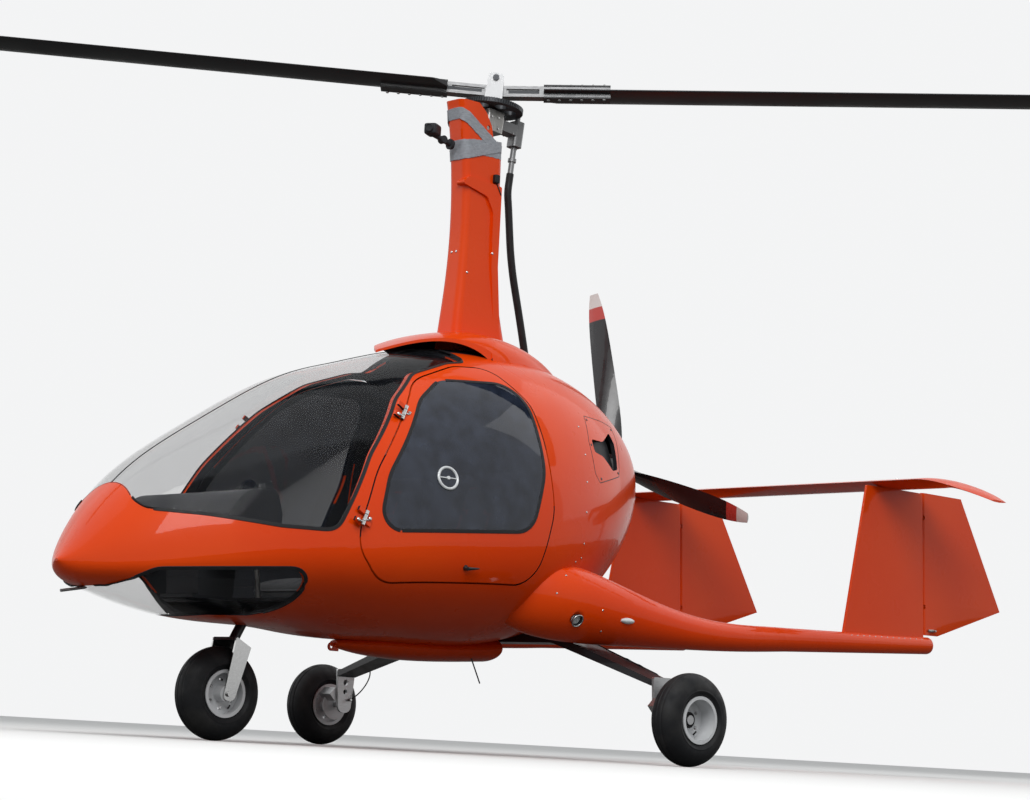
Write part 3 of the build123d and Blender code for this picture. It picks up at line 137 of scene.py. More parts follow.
def lightScene(s):
    # the world lights with one colour and shows another; each lamp points from its place at its aim
    scene = bpy.context.scene
    scene.view_settings.view_transform = "Standard"
    scene.world = bpy.data.worlds.new("overcast")
    scene.world.use_nodes = True
    tree = scene.world.node_tree
    tree.nodes.clear()
    out, mix = tree.nodes.new("ShaderNodeOutputWorld"), tree.nodes.new("ShaderNodeMixShader")
    light, shown = tree.nodes.new("ShaderNodeBackground"), tree.nodes.new("ShaderNodeBackground")
    fill(light, {"Color": (*s["skyColour"], 1), "Strength": s["skyLight"]})
    fill(shown, {"Color": (*s["skyShown"], 1)})
    tree.links.new(rayIs(tree, "Camera", "Glossy", "Transmission"), mix.inputs[0])
    tree.links.new(light.outputs[0], mix.inputs[1])
    tree.links.new(shown.outputs[0], mix.inputs[2])
    tree.links.new(mix.outputs[0], out.inputs["Surface"])
    for name, place, aim, size, power in s["lamps"]:
        data = bpy.data.lights.new(name, "AREA")
        data.size, data.energy = size, power
        lamp = stand(name, data)
        lamp.location = place
        lamp.rotation_euler = (Vector(aim) - Vector(place)).to_track_quat("-Z", "Y").to_euler()


def layFloor(s):
    # a square; it lights the model with one colour and is seen with another
    r = s["floorReach"]
    mesh = bpy.data.meshes.new("studioFloor")
    mesh.from_pydata([(-r, -r, 0), (r, -r, 0), (r, r, 0), (-r, r, 0)], [], [(0, 1, 2, 3)])
    floor = stand("studioFloor", mesh)
    finish, tree = newFinish("floorMatt", s["floorLit"], s["floorRoughness"], specular=s["floorSpecular"])
    seen = rayIs(tree, "Camera", "Transmission")
    feed(tree, "Base Color", blendColours(tree, seen, s["floorLit"], s["floorShown"]))
    mesh.materials.append(finish)


# finishes: every one varies over Object coordinates, in metres
coatRoughness = 0.03


def newFinish(name, colour, roughness, metallic=0.0, coat=0.0, specular=0.5):
    # the surface shader with plain numbers
    finish = bpy.data.materials.new(name)
    finish.use_nodes = True
    fill(finish.node_tree.nodes["Principled BSDF"], {
        "Base Color": (*colour, 1), "Roughness": roughness, "Metallic": metallic,
        "Specular IOR Level": specular, "Coat Weight": coat, "Coat Roughness": coatRoughness})
    return finish, finish.node_tree


def objectPlace(tree):
    # one coordinate node for each tree
    place = tree.nodes.get("place")
    if place is None:
        place = tree.nodes.new("ShaderNodeTexCoord")
        place.name = "place"
    return place


def axesOf(tree, output):
    # x, y and z of the Object place or Normal
    parts = tree.nodes.new("ShaderNodeSeparateXYZ")
    tree.links.new(objectPlace(tree).outputs[output], parts.inputs[0])
    return parts.outputs


def scaledPlace(tree, scale, move=(0, 0, 0)):
    # Object coordinates times scale, plus move
    mapping = tree.nodes.new("ShaderNodeMapping")
    fill(mapping, {"Scale": scale, "Location": move})
    tree.links.new(objectPlace(tree).outputs["Object"], mapping.inputs["Vector"])
    return mapping.outputs["Vector"]


def fractal(tree, scale, stretch=(1, 1, 1), detail=4):
    # noise over Object coordinates times stretch
    noise = tree.nodes.new("ShaderNodeTexNoise")
    fill(noise, {"Scale": scale, "Detail": detail})
    tree.links.new(scaledPlace(tree, stretch), noise.inputs["Vector"])
    return noise.outputs["Fac"]


def spread(tree, value, low, high, fromLow=0.3, fromHigh=0.7):
    # a straight line from one range to another, clamped
    rng = tree.nodes.new("ShaderNodeMapRange")
    fill(rng, {"From Min": fromLow, "From Max": fromHigh, "To Min": low, "To Max": high})
    tree.links.new(value, rng.inputs["Value"])
    return rng.outputs["Result"]


def blendColours(tree, factor, first, second):
    # first and second are colours or sockets
    mix = tree.nodes.new("ShaderNodeMix")
    mix.data_type = "RGBA"
    tree.links.new(factor, mix.inputs["Factor"])
    for key, colour in (("A", first), ("B", second)):
        if isinstance(colour, tuple):
            mix.inputs[key].default_value = (*colour, 1)
        else:
            tree.links.new(colour, mix.inputs[key])
    return mix.outputs["Result"]


def addRelief(tree, height, depth, strength=1.0):
    # height 0 to 1 over depth metres
    bump = tree.nodes.new("ShaderNodeBump")
    fill(bump, {"Distance": depth, "Strength": strength})
    tree.links.new(height, bump.inputs["Height"])
    feed(tree, "Normal", bump.outputs["Normal"])


placeCamera(photoCamera)
lightScene(studio)
layFloor(studio)
print("camera, lights and floor placed")

# colour, roughness and fine relief of the plain finishes; scales are per metre, depth in metres
finishLooks = dict(
    cabinTrim=dict(colour=(0.022, 0.023, 0.026), roughness=0.62, scale=9, paler=1.5, fine=80, depth=0.00004,
                   specular=0.2),
    rotorBlack=dict(colour=(0.010, 0.0105, 0.012), roughness=0.38, scale=3, paler=1.9, fine=60, depth=0.0002,
                    specular=0.35),
    bareAlloy=dict(colour=(0.19, 0.192, 0.195), roughness=0.50, metallic=1.0, scale=30, paler=1.25,
                   stretch=(1, 1, 14), fine=260, depth=0.00012),
    bracketAlloy=dict(colour=(0.45, 0.455, 0.46), roughness=0.38, metallic=1.0, scale=30, paler=1.25,
                      stretch=(1, 1, 10), fine=260, depth=0.00012),
    headSteel=dict(colour=(0.27, 0.265, 0.255), roughness=0.34, metallic=1.0, scale=26, paler=1.5,
                   stretch=(8, 8, 1), fine=420, depth=0.0002),
    ringIron=dict(colour=(0.028, 0.030, 0.033), roughness=0.42, metallic=0.6, scale=40, paler=1.8, fine=300,
                  depth=0.0003),
    wheelPaint=dict(colour=(0.58, 0.59, 0.60), roughness=0.34, coat=0.3, scale=22, paler=1.12, fine=500,
                    depth=0.0001),
    springBlack=dict(colour=(0.009, 0.0095, 0.011), roughness=0.36, coat=0.25, scale=7, paler=1.8, fine=420,
                     depth=0.0002, specular=0.35),
    sleeveRubber=dict(colour=(0.009, 0.009, 0.010), roughness=0.55, scale=30, paler=1.7, fine=700,
                      depth=0.0003, specular=0.25),
    engineGrey=dict(colour=(0.09, 0.09, 0.095), roughness=0.5, scale=14, paler=1.5, fine=200, depth=0.0006),
    clearLens=dict(colour=(0.62, 0.64, 0.65), roughness=0.12, coat=1.0, scale=60, paler=1.2, fine=220,
                   depth=0.0005),
    polished=dict(colour=(0.46, 0.46, 0.455), roughness=0.12, metallic=1.0, scale=90, paler=1.15, fine=700,
                  depth=0.00005),
    greyTape=dict(colour=(0.235, 0.25, 0.275), roughness=0.5, scale=55, paler=1.45, stretch=(1, 1, 3),
                  fine=160, depth=0.0012),
    redWebbing=dict(colour=(0.36, 0.018, 0.014), roughness=0.85, scale=90, paler=1.4, stretch=(1, 1, 4),
                    fine=900, depth=0.0005, specular=0.2),
    screenGlass=dict(colour=(0.004, 0.006, 0.010), roughness=0.06, coat=0.6, scale=12, paler=1.6, fine=200,
                     depth=0.00002),
)
unevenness = dict(smoother=0.8, rougher=1.25)


def variedFinish(name, s, uneven):
    # colour and roughness follow one noise, the relief a finer one
    finish, tree = newFinish(name, s["colour"], s["roughness"], s.get("metallic", 0.0), s.get("coat", 0.0),
                             s.get("specular", 0.5))
    stretch = s.get("stretch", (1, 1, 1))
    grain = fractal(tree, s["scale"], stretch)
    paler = tuple(min(1.0, c * s["paler"]) for c in s["colour"])
    feed(tree, "Base Color", blendColours(tree, spread(tree, grain, 0, 1), s["colour"], paler))
    low, high = s["roughness"] * uneven["smoother"], min(1.0, s["roughness"] * uneven["rougher"])
    feed(tree, "Roughness", spread(tree, grain, low, high))
    addRelief(tree, fractal(tree, s["fine"], stretch), s["depth"])
    return finish


finishes = {name: variedFinish(name, look, unevenness) for name, look in finishLooks.items()}

# paint: the middle line (y, z) of the cabin's side view tells the shell's inner faces
paint = dict(
    # trim is the cabin's dark inside colour, also laid on the vent walls as painted shade
    orange=(0.74, 0.048, 0.001), sunlit=(0.79, 0.066, 0.002), trim=(0.020, 0.021, 0.024), trimRoughness=0.7,
    roughness=0.28, smoother=0.85, rougher=1.3, coat=0.32, specular=0.06, patches=1.6, sheen=5, peel=320,
    peelDepth=0.00005, peelStrength=0.6,
    middle=[(-2.095, 0.66), (-1.93, 0.74), (-1.7, 0.82), (-1.3, 0.94), (-0.85, 1.03), (0.05, 1.12),
            (0.8, 1.27)],
    zFull=2.0,         # the ramp's white in metres
    scoopFront=-0.545, scoopCurve=4.4, scoopReach=0.27, scoopLowest=1.64, scoopBack=0.05,
    ventLow=(0.15, 1.23), ventHigh=(0.41, 1.44), ventFlat=0.12,
)


def insideMask(tree, s):
    # 1 where the surface faces the cabin's middle line: normal . (x, 0, z - middle(y)) < 0
    x, y, z = axesOf(tree, "Object")
    ramp = tree.nodes.new("ShaderNodeValToRGB")
    low, high = s["middle"][0][0], s["middle"][-1][0]
    stops = ramp.color_ramp.elements
    while len(stops) < len(s["middle"]):
        stops.new(0.5)
    for stop, (along, level) in zip(stops, s["middle"]):
        stop.position = (along - low) / (high - low)
        stop.color = (level / s["zFull"],) * 3 + (1,)
    tree.links.new(spread(tree, y, 0, 1, low, high), ramp.inputs["Fac"])
    level = reckon(tree, "MULTIPLY", ramp.outputs["Color"], s["zFull"])
    outward = tree.nodes.new("ShaderNodeCombineXYZ")
    tree.links.new(x, outward.inputs["X"])
    tree.links.new(reckon(tree, "SUBTRACT", z, level), outward.inputs["Z"])
    dot = tree.nodes.new("ShaderNodeVectorMath")
    dot.operation = "DOT_PRODUCT"
    tree.links.new(objectPlace(tree).outputs["Normal"], dot.inputs[0])
    tree.links.new(outward.outputs[0], dot.inputs[1])
    return reckon(tree, "LESS_THAN", dot.outputs["Value"], 0)


def throatMask(tree, s):
    # 1 on the roof under the scoop: behind its lip front + curve * x * x, and inside its sides
    x, y, z = axesOf(tree, "Object")
    squared = reckon(tree, "MULTIPLY", x, x)
    lip = reckon(tree, "MULTIPLY_ADD", squared, s["scoopCurve"], s["scoopFront"])
    return allOf(tree, [
        reckon(tree, "GREATER_THAN", y, lip), reckon(tree, "LESS_THAN", squared, s["scoopReach"] ** 2),
        reckon(tree, "GREATER_THAN", z, s["scoopLowest"]), reckon(tree, "LESS_THAN", y, s["scoopBack"])])


def ventWallShade(tree, s):
    # 1 on the cut wall of a side vent, dark here as painted shade: its place is in the vent's box and its
    # normal is square to X
    _, y, z = axesOf(tree, "Object")
    size = reckon(tree, "ABSOLUTE", axesOf(tree, "Normal")[0])
    tests = [reckon(tree, "LESS_THAN", size, s["ventFlat"])]
    for axis, low, high in zip((y, z), s["ventLow"], s["ventHigh"]):
        tests += [reckon(tree, "GREATER_THAN", axis, low), reckon(tree, "LESS_THAN", axis, high)]
    return allOf(tree, tests)


def orangeFinish(name, s, masks=()):
    # gloss orange with a slight orange peel, and the dark trim colour where a mask is 1, laid on the vent
    # walls as painted shade
    finish, tree = newFinish(name, s["orange"], s["roughness"], coat=s["coat"], specular=s["specular"])
    colour = blendColours(tree, spread(tree, fractal(tree, s["patches"]), 0, 1), s["orange"], s["sunlit"])
    low, high = s["roughness"] * s["smoother"], s["roughness"] * s["rougher"]
    rough = spread(tree, fractal(tree, s["sheen"]), low, high)
    if masks:
        dark = anyOf(tree, [mask(tree, s) for mask in masks])
        colour = blendColours(tree, dark, colour, s["trim"])
        rough = anyOf(tree, [rough, spread(tree, dark, 0, s["trimRoughness"], 0, 1)])
        feed(tree, "Coat Weight", spread(tree, dark, s["coat"], 0, 0, 1))
    feed(tree, "Base Color", colour)
    feed(tree, "Roughness", rough)
    addRelief(tree, fractal(tree, s["peel"], detail=1), s["peelDepth"], s["peelStrength"])
    return finish


finishes["orangePaint"] = orangeFinish("orangePaint", paint)
finishes["orangeShell"] = orangeFinish("orangeShell", paint, (insideMask, throatMask, ventWallShade))
finishes["orangeScoop"] = orangeFinish("orangeScoop", paint, (insideMask,))

panes = dict(
    clearCanopy=dict(colour=(0.020, 0.023, 0.028), alpha=(0.01, 0.24), specular=0.6),
    smokeWindow=dict(colour=(0.012, 0.017, 0.030), alpha=(0.70, 0.93), specular=0.35),
)
paneSurface = dict(
    roughness=0.03, coat=0.5, edge=0.35, haze=2.2, hazeBase=0.01, smudges=14, smudge=(0.35, 0.75), streaks=30,
    streak=(0.02, 0.06),
)


def glassFinish(name, pane, s):
    # see-through straight on and mirror-like at a grazing angle
    finish, tree = newFinish(name, pane["colour"], s["roughness"], coat=s["coat"], specular=pane["specular"])
    edge = tree.nodes.new("ShaderNodeLayerWeight")
    fill(edge, {"Blend": s["edge"]})
    feed(tree, "Alpha", spread(tree, edge.outputs["Fresnel"], *pane["alpha"], 0.0, 1.0))
    haze = tuple(c * s["haze"] + s["hazeBase"] for c in pane["colour"])
    smudge = spread(tree, fractal(tree, s["smudges"]), 0, 1, *s["smudge"])
    feed(tree, "Base Color", blendColours(tree, smudge, pane["colour"], haze))
    feed(tree, "Roughness", spread(tree, fractal(tree, s["streaks"]), *s["streak"]))
    return finish


for name, pane in panes.items():
    finishes[name] = glassFinish(name, pane, paneSurface)

propeller = dict(
    axisZ=1.335, black=(0.010, 0.010, 0.012), red=(0.50, 0.05, 0.04), white=(0.70, 0.66, 0.64), redFrom=0.745,
    whiteFrom=0.81, edge=0.004, roughness=(0.2, 0.36), coat=0.5, fine=90, sheenScale=12, depth=0.0002,
    strength=0.5,
)


def propellerFinish(s):
    # black blades whose tips carry a red band and a white band, by distance from the axis
    finish, tree = newFinish("propBlack", s["black"], s["roughness"][0], coat=s["coat"])
    far = tree.nodes.new("ShaderNodeVectorMath")
    far.operation = "LENGTH"
    tree.links.new(scaledPlace(tree, (1, 0, 1), (0, 0, -s["axisZ"])), far.inputs[0])
    colour = s["black"]
    for start, band in ((s["redFrom"], s["red"]), (s["whiteFrom"], s["white"])):
        reach = spread(tree, far.outputs["Value"], 0, 1, start, start + s["edge"])
        colour = blendColours(tree, reach, colour, band)
    feed(tree, "Base Color", colour)
    feed(tree, "Roughness", spread(tree, fractal(tree, s["sheenScale"]), *s["roughness"]))
    addRelief(tree, fractal(tree, s["fine"]), s["depth"], s["strength"])
    return finish


tyreSurface = dict(
    colour=(0.0085, 0.009, 0.0105), dust=(0.040, 0.038, 0.035), roughness=(0.5, 0.75), specular=0.25,
    dustScale=11, dustMost=0.55, dustFrom=(0.48, 0.8), dustDetail=8, sheenScale=25, fine=420, depth=0.0004,
    strength=0.6,
)


def tyreFinish(s):
    # black rubber, with dust in the low places of a coarse noise
    finish, tree = newFinish("tyreRubber", s["colour"], s["roughness"][0], specular=s["specular"])
    patches = fractal(tree, s["dustScale"], detail=s["dustDetail"])
    dust = spread(tree, patches, 0, s["dustMost"], *s["dustFrom"])
    feed(tree, "Base Color", blendColours(tree, dust, s["colour"], s["dust"]))
    feed(tree, "Roughness", spread(tree, fractal(tree, s["sheenScale"]), *s["roughness"]))
    addRelief(tree, fractal(tree, s["fine"], detail=2), s["depth"], s["strength"])
    return finish


cloth = dict(
    colour=(0.020, 0.021, 0.024), thread=(0.045, 0.046, 0.050), weave=80, distortion=0.6,
    roughness=(0.8, 0.95), sheenScale=20, specular=0.2, sheen=0.3, depth=0.0008,
)


def clothFinish(s):
    # a plain weave: two crossed waves over Object coordinates
    finish, tree = newFinish("seatCloth", s["colour"], s["roughness"][1], specular=s["specular"])
    fill(tree.nodes["Principled BSDF"], {"Sheen Weight": s["sheen"]})
    waves = []
    for direction in ("X", "DIAGONAL"):
        wave = tree.nodes.new("ShaderNodeTexWave")
        wave.bands_direction = direction
        fill(wave, {"Scale": s["weave"], "Distortion": s["distortion"]})
        tree.links.new(objectPlace(tree).outputs["Object"], wave.inputs["Vector"])
        waves.append(wave.outputs["Fac"])
    weave = allOf(tree, waves)
    feed(tree, "Base Color", blendColours(tree, weave, s["colour"], s["thread"]))
    feed(tree, "Roughness", spread(tree, fractal(tree, s["sheenScale"]), *s["roughness"]))
    addRelief(tree, weave, s["depth"])
    return finish


finishes["propBlack"] = propellerFinish(propeller)
finishes["tyreRubber"] = tyreFinish(tyreSurface)
finishes["seatCloth"] = clothFinish(cloth)

slotFinishes = dict(
    body_paint="orangePaint", window_tint="smokeWindow", cabin_trim="cabinTrim", seat_cover="seatCloth",
    rotor_black="rotorBlack", prop_black="propBlack", bare_alloy="bareAlloy", head_steel="headSteel",
    ring_iron="ringIron", tyre_rubber="tyreRubber", wheel_paint="wheelPaint", spring_black="springBlack",
    sleeve_rubber="sleeveRubber", engine_grey="engineGrey", lamp_lens="clearLens",
)
nodeFinishes = dict(
    fuselage_shell="orangeShell", engine_cowl="orangeShell", door_left="orangeShell",
    door_right="orangeShell", mast_scoop="orangeScoop", windscreen="clearCanopy", chin_window="clearCanopy",
    nose_fork="polished", firewall="cabinTrim", wheel_bracket_left="bracketAlloy",
    wheel_bracket_right="bracketAlloy", blade_grips="rotorBlack",
)
# the slot for each finish
finishSlots = {finish: slot for slot, finish in slotFinishes.items()}
finishSlots.update(polished="head_steel", greyTape="cabin_trim", redWebbing="seat_cover",
                   screenGlass="cabin_trim")
for part in frame["record"]["subparts"]:
    mesh = nodes[part["node"]].data
    mesh.materials.clear()
    mesh.materials.append(finishes[nodeFinishes.get(part["node"], slotFinishes[part["material_slot"]])])
print("finishes on the CAD nodes")


# surfaces: every new piece is one or more grids of points, closed at its ends and joined
def gridFaces(rows, columns, wrapRows=False):
    # quads between neighbouring rings; wrapped rows join the last ring to the first
    i, j = np.meshgrid(np.arange(rows if wrapRows else rows - 1), np.arange(columns), indexing="ij")
    a, b, beside = i * columns, ((i + 1) % rows) * columns, (j + 1) % columns
    return np.stack([a + j, b + j, b + beside, a + beside], -1).reshape(-1, 4)


def unit(v):
    # each vector over its own length
    v = np.asarray(v, float)
    return v / np.maximum(np.linalg.norm(v, axis=-1, keepdims=True), 1e-9)


def closedGrid(grid):
    # an open stack of rings gets one more ring at each end, drawn in to its middle
    first, last = (np.broadcast_to(ring.mean(0), ring.shape) for ring in (grid[0], grid[-1]))
    grid = np.concatenate([first[None], grid, last[None]])
    return grid.reshape(-1, 3), gridFaces(len(grid), grid.shape[1])


def carried(path, outline, upward, closed=False):
    # point = path + outline x * side + outline y * up, where side = direction x up
    path, outline = np.asarray(path, float), np.asarray(outline, float)
    ahead = unit(np.roll(path, -1, 0) - np.roll(path, 1, 0) if closed else np.gradient(path, axis=0))
    up = np.broadcast_to(np.asarray(upward, float), path.shape)
    up = unit(up - (up * ahead).sum(1, keepdims=True) * ahead)
    side = np.cross(ahead, up)
    grid = path[:, None] + outline[None, :, :1] * side[:, None] + outline[None, :, 1:] * up[:, None]
    if closed:
        return grid.reshape(-1, 3), gridFaces(len(path), len(outline), True)
    return closedGrid(grid)


def line(start, end, steps):
    # even steps from start to end
    return np.asarray(start) + (np.asarray(end) - start) * np.linspace(0, 1, steps)[:, None]


def curve(points, steps):
    # a Bezier curve, by repeated mixing of neighbouring points
    t = np.linspace(0, 1, steps)[:, None]
    rows = [np.asarray(p, float)[None] for p in points]
    while len(rows) > 1:
        rows = [(1 - t) * a + t * b for a, b in zip(rows, rows[1:])]
    return rows[0]


def circle(radius, sides=12):
    # x = radius cos a, y = radius sin a
    a = np.linspace(0, 2 * np.pi, sides, endpoint=False)
    return np.stack([radius * np.cos(a), radius * np.sin(a)], 1)


def lipOutline(radius, tube, level=0.0, sides=13):
    # a small circle of radius tube about (radius, level), ending where it starts
    a = np.linspace(0, 2 * np.pi, sides)
    return np.stack([radius + tube * np.cos(a), level + tube * np.sin(a)], 1)


def strip(width, low, high, bevel=0.25):
    # a flat band's section, its upper corners cut by bevel times its height
    cut, half = bevel * (high - low), width / 2
    return np.array([(-half, low), (half, low), (half, high - cut), (half - cut, high), (cut - half, high),
                     (-half, high - cut)])


def across(axis):
    # two directions square to the axis
    axis = unit(axis)
    first = unit(np.cross(axis, (0, 0, 1) if abs(axis[2]) < 0.9 else (1, 0, 0)))
    return first, np.cross(axis, first)


def turned(profile, centre, axis, steps=48):
    # point = centre + along * axis + radius * (cos a * u + sin a * v); a profile row is (radius, along)
    profile = np.asarray(profile, float)
    u, v = across(axis)
    a = np.linspace(0, 2 * np.pi, steps, endpoint=False)
    ring = np.cos(a)[:, None] * u + np.sin(a)[:, None] * v
    grid = np.asarray(centre) + profile[:, 1, None, None] * unit(axis) + profile[:, 0, None, None] * ring
    return grid.reshape(-1, 3), gridFaces(len(profile), steps)


def knob(profile, centre, axis, steps):
    # a turned profile closed on its axis at both ends
    return turned([(0, profile[0][1]), *profile, (0, profile[-1][1])], centre, axis, steps)


def knobs(s, seats):
    # the same knob at each seat, a place with its outward direction
    return [knob(s["profile"], *seat, s["sides"]) for seat in seats]


def power(w, n):
    # the sign kept, the size raised to n
    return np.sign(w) * np.abs(w) ** n


def pebble(centre, axes, half, sharpness=0.35, rows=14, columns=28):
    # a rounded block: each of sin and cos on a sphere is raised to a power under one
    v = np.linspace(-np.pi / 2, np.pi / 2, rows)[:, None]
    u = np.linspace(0, 2 * np.pi, columns, endpoint=False)[None]
    ring = power(np.cos(v), sharpness)
    local = np.stack([ring * power(np.cos(u), sharpness), ring * power(np.sin(u), sharpness),
                      power(np.sin(v), sharpness) * np.ones_like(u)], -1) * np.asarray(half)
    grid = np.asarray(centre) + local @ np.asarray(axes, float)
    return grid.reshape(-1, 3), gridFaces(rows, columns)


def addPiece(name, mesh, body, finishName, sharp):
    mesh.shade_smooth()
    mesh.set_sharp_from_angle(angle=radians(sharp))
    mesh.materials.append(finishes[finishName])
    piece = stand(name, mesh)
    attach(piece, body)
    return piece


def makePiece(name, body, finishName, shapes, sharp=38.0):
    # the shapes joined in one mesh, doubles merged and faces turned outwards
    starts = np.cumsum([0] + [len(points) for points, faces in shapes[:-1]])
    points = np.concatenate([points for points, faces in shapes])
    faces = np.concatenate([faces + start for (_, faces), start in zip(shapes, starts)])
    mesh = bpy.data.meshes.new(name)
    mesh.from_pydata(points.tolist(), [], faces.tolist())
    work = bmesh.new()
    work.from_mesh(mesh)
    bmesh.ops.remove_doubles(work, verts=work.verts, dist=1e-6)
    bmesh.ops.recalc_face_normals(work, faces=work.faces)
    work.to_mesh(mesh)
    work.free()
    return addPiece(name, mesh, body, finishName, sharp)


airframe, doors, rudders, wheels = (("airframe",) * 2, ("door_l", "door_r"), ("rudder_l", "rudder_r"),
                                    ("wheel_l", "wheel_r"))


def makePair(name, bodies, finishName, shapes, sharp=38.0):
    # the same shapes on the left and, mirrored, on the right
    other = [(points * (-1, 1, 1), faces) for points, faces in shapes]
    return (makePiece(name + "Left", bodies[0], finishName, shapes, sharp),
            makePiece(name + "Right", bodies[1], finishName, other, sharp))


# tail booms: the CAD boom's front, carried on as a round tube under the fin to its end
boomTail = dict(cut=1.20, steps=16, end=(0.800, 2.185, 0.619), endHalf=(0.038, 0.040), sharp=35,
                cap=[(0.93, 0.010), (0.72, 0.018), (0.40, 0.022), (0.05, 0.023)])  # share of endHalf, run aft


def boomPiece(side, sign, s):
    # rings = cut ring, moved and scaled in even steps from the cut's middle and size to the end's
    work = bmesh.new()
    work.from_mesh(nodes["tail_boom_" + side].data)
    bmesh.ops.remove_doubles(work, verts=work.verts, dist=1e-5)
    everything = work.verts[:] + work.edges[:] + work.faces[:]
    cut = bmesh.ops.bisect_plane(work, geom=everything, dist=1e-6, plane_co=(0, s["cut"], 0),
                                 plane_no=(0, 1, 0), clear_outer=True)["geom_cut"]
    edges = [g for g in cut if isinstance(g, bmesh.types.BMEdge)]
    ring = np.array([v.co for v in {v for e in edges for v in e.verts}])
    middle, size = (ring.min(0) + ring.max(0)) / 2, np.ptp(ring, 0)[[0, 2]] / 2
    end, endHalf = np.array(s["end"]) * (sign, 1, 1), np.array(s["endHalf"])
    stops = [(middle + (end - middle) * t, size + (endHalf - size) * t)
             for t in np.linspace(0, 1, s["steps"] + 1)[1:]]
    stops += [(end + (0, run, 0), endHalf * share) for share, run in s["cap"]]
    here, now = middle, size
    for place, half in stops:
        grown = bmesh.ops.extrude_edge_only(work, edges=edges)["geom"]
        edges = [g for g in grown if isinstance(g, bmesh.types.BMEdge)]
        verts = [g for g in grown if isinstance(g, bmesh.types.BMVert)]
        bmesh.ops.scale(work, vec=(half[0] / now[0], 1, half[1] / now[1]), verts=verts,
                        space=Matrix.Translation(-Vector(here)))
        bmesh.ops.translate(work, vec=Vector(place - here), verts=verts)
        here, now = place, half
    bmesh.ops.holes_fill(work, edges=edges, sides=0)
    bmesh.ops.recalc_face_normals(work, faces=work.faces)
    name = "boomSkin" + side.title()
    mesh = bpy.data.meshes.new(name)
    work.to_mesh(mesh)
    work.free()
    piece = addPiece(name, mesh, "airframe", "orangePaint", s["sharp"])
    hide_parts("tail_boom_" + side)
    return piece


boomLeft = boomPiece("left", 1, boomTail)
boomPiece("right", -1, boomTail)
print("tail booms carried on to their ends")


def skinOf(*names):
    # a search tree over some CAD nodes, or over the piece that takes a node's place
    points, faces = [], []
    for name in names:
        mesh, start = boomLeft.data if name == "tail_boom_left" else nodes[name].data, len(points)
        points += [v.co.copy() for v in mesh.vertices]
        faces += [tuple(start + i for i in p.vertices) for p in mesh.polygons]
    return BVHTree.FromPolygons(points, faces)


skins = dict(
    cabin=skinOf("fuselage_shell", "windscreen", "chin_window", "engine_cowl", "tail_boom_left"),
    door=skinOf("door_left", "door_glass_left"), mast=skinOf("mast"), boom=skinOf("tail_boom_left"),
    cowl=skinOf("engine_cowl"), bow=skinOf("gear_bow"), grips=skinOf("blade_grips"), bar=skinOf("hub_bar"),
    head=skinOf("rotor_head"), gearbox=skinOf("drive_gearbox"), dash=skinOf("instrument_panel"),
    tail=skinOf("tailplane"), rudder=skinOf("rudder_left"),
)


def nearest(skin, place):
    # the nearest point of the skin and its outward direction
    spot, out, _, _ = skins[skin].find_nearest(Vector(place))
    return np.array(spot), np.array(out)


def seatsOn(skin, places):
    # the skin's nearest point and direction at each place
    return [nearest(skin, place) for place in places]


def struck(skin, start, way):
    # the point where a ray meets the skin and its outward direction, or None
    spot, out, _, _ = skins[skin].ray_cast(Vector(start), Vector(way))
    return None if spot is None else (np.array(spot), np.array(out))


def fromLeft(skin, y, z, start=1.2):
    # a ray across the aircraft from its left
    return struck(skin, (start, y, z), (-1, 0, 0))


# seals: black rubber round each pane, half on the pane and half on the frame
seals = dict(sharp=40.0, heartTop=1.2, width=0.015, root=-0.002, height=0.0022, gap=0.012, shortest=0.06)


def edgeLoops(name, s):
    # the outer rims of a CAD pane: chains of its sharp edges, with the skin's direction at each point
    work = bmesh.new()
    work.from_mesh(nodes[name].data)
    bmesh.ops.remove_doubles(work, verts=work.verts, dist=1e-5)
    middle = sum((v.co for v in work.verts), Vector()) / len(work.verts)
    heart = Vector((0, middle.y, min(middle.z, s["heartTop"])))
    links, outward = {}, {}
    for edge in work.edges:
        if len(edge.link_faces) != 2 or edge.calc_face_angle(0) < radians(s["sharp"]):
            continue
        away = (edge.verts[0].co + edge.verts[1].co) / 2 - heart
        skin = max(edge.link_faces, key=lambda f: abs(f.normal.dot(away.normalized())))
        if skin.normal.dot(away) > 0:
            for a, b in (edge.verts, reversed(edge.verts)):
                links.setdefault(a.index, []).append(b.index)
                outward.setdefault(a.index, []).append(np.array(skin.normal))
    work.verts.ensure_lookup_table()
    loops, left = [], set(links)
    while left:
        chain, here = [], min(left)
        while here is not None:
            chain.append(here)
            left.discard(here)
            here = next((n for n in links[here] if n in left), None)
        whole = len(chain) > 2 and chain[0] in links[chain[-1]]
        points = np.array([work.verts[i].co for i in chain])
        loops.append((points, unit([np.mean(outward[i], 0) for i in chain]), whole))
    work.free()
    return loops


def evenLoop(points, outward, gap, whole=True):
    # the loop, or an open line, at even steps and softened over its neighbours
    end = 1 if whole else 0
    ring, out = np.concatenate([points, points[:end]]), np.concatenate([outward, outward[:end]])
    run = np.concatenate([[0], np.cumsum(np.linalg.norm(np.diff(ring, axis=0), axis=1))])
    at = np.linspace(0, run[-1], max(12, int(run[-1] / gap)), endpoint=not whole)
    lines = [np.stack([np.interp(at, run, row[:, k]) for k in range(3)], 1) for row in (ring, out)]
    keep = slice(None) if whole else slice(1, -1)
    for row in lines:
        for _ in range(2):
            row[keep] = ((np.roll(row, 1, 0) + 2 * row + np.roll(row, -1, 0)) / 4)[keep]
    return lines[0], unit(lines[1])


def sealShapes(name, s):
    # a flat band along each rim that isn't a scrap
    shapes = []
    for points, outward, whole in edgeLoops(name, s):
        if np.linalg.norm(np.diff(points, axis=0), axis=1).sum() >= s["shortest"]:
            path, out = evenLoop(points, outward, s["gap"], whole)
            shapes.append(carried(path, strip(s["width"], s["root"], s["height"]), out, closed=whole))
    return shapes


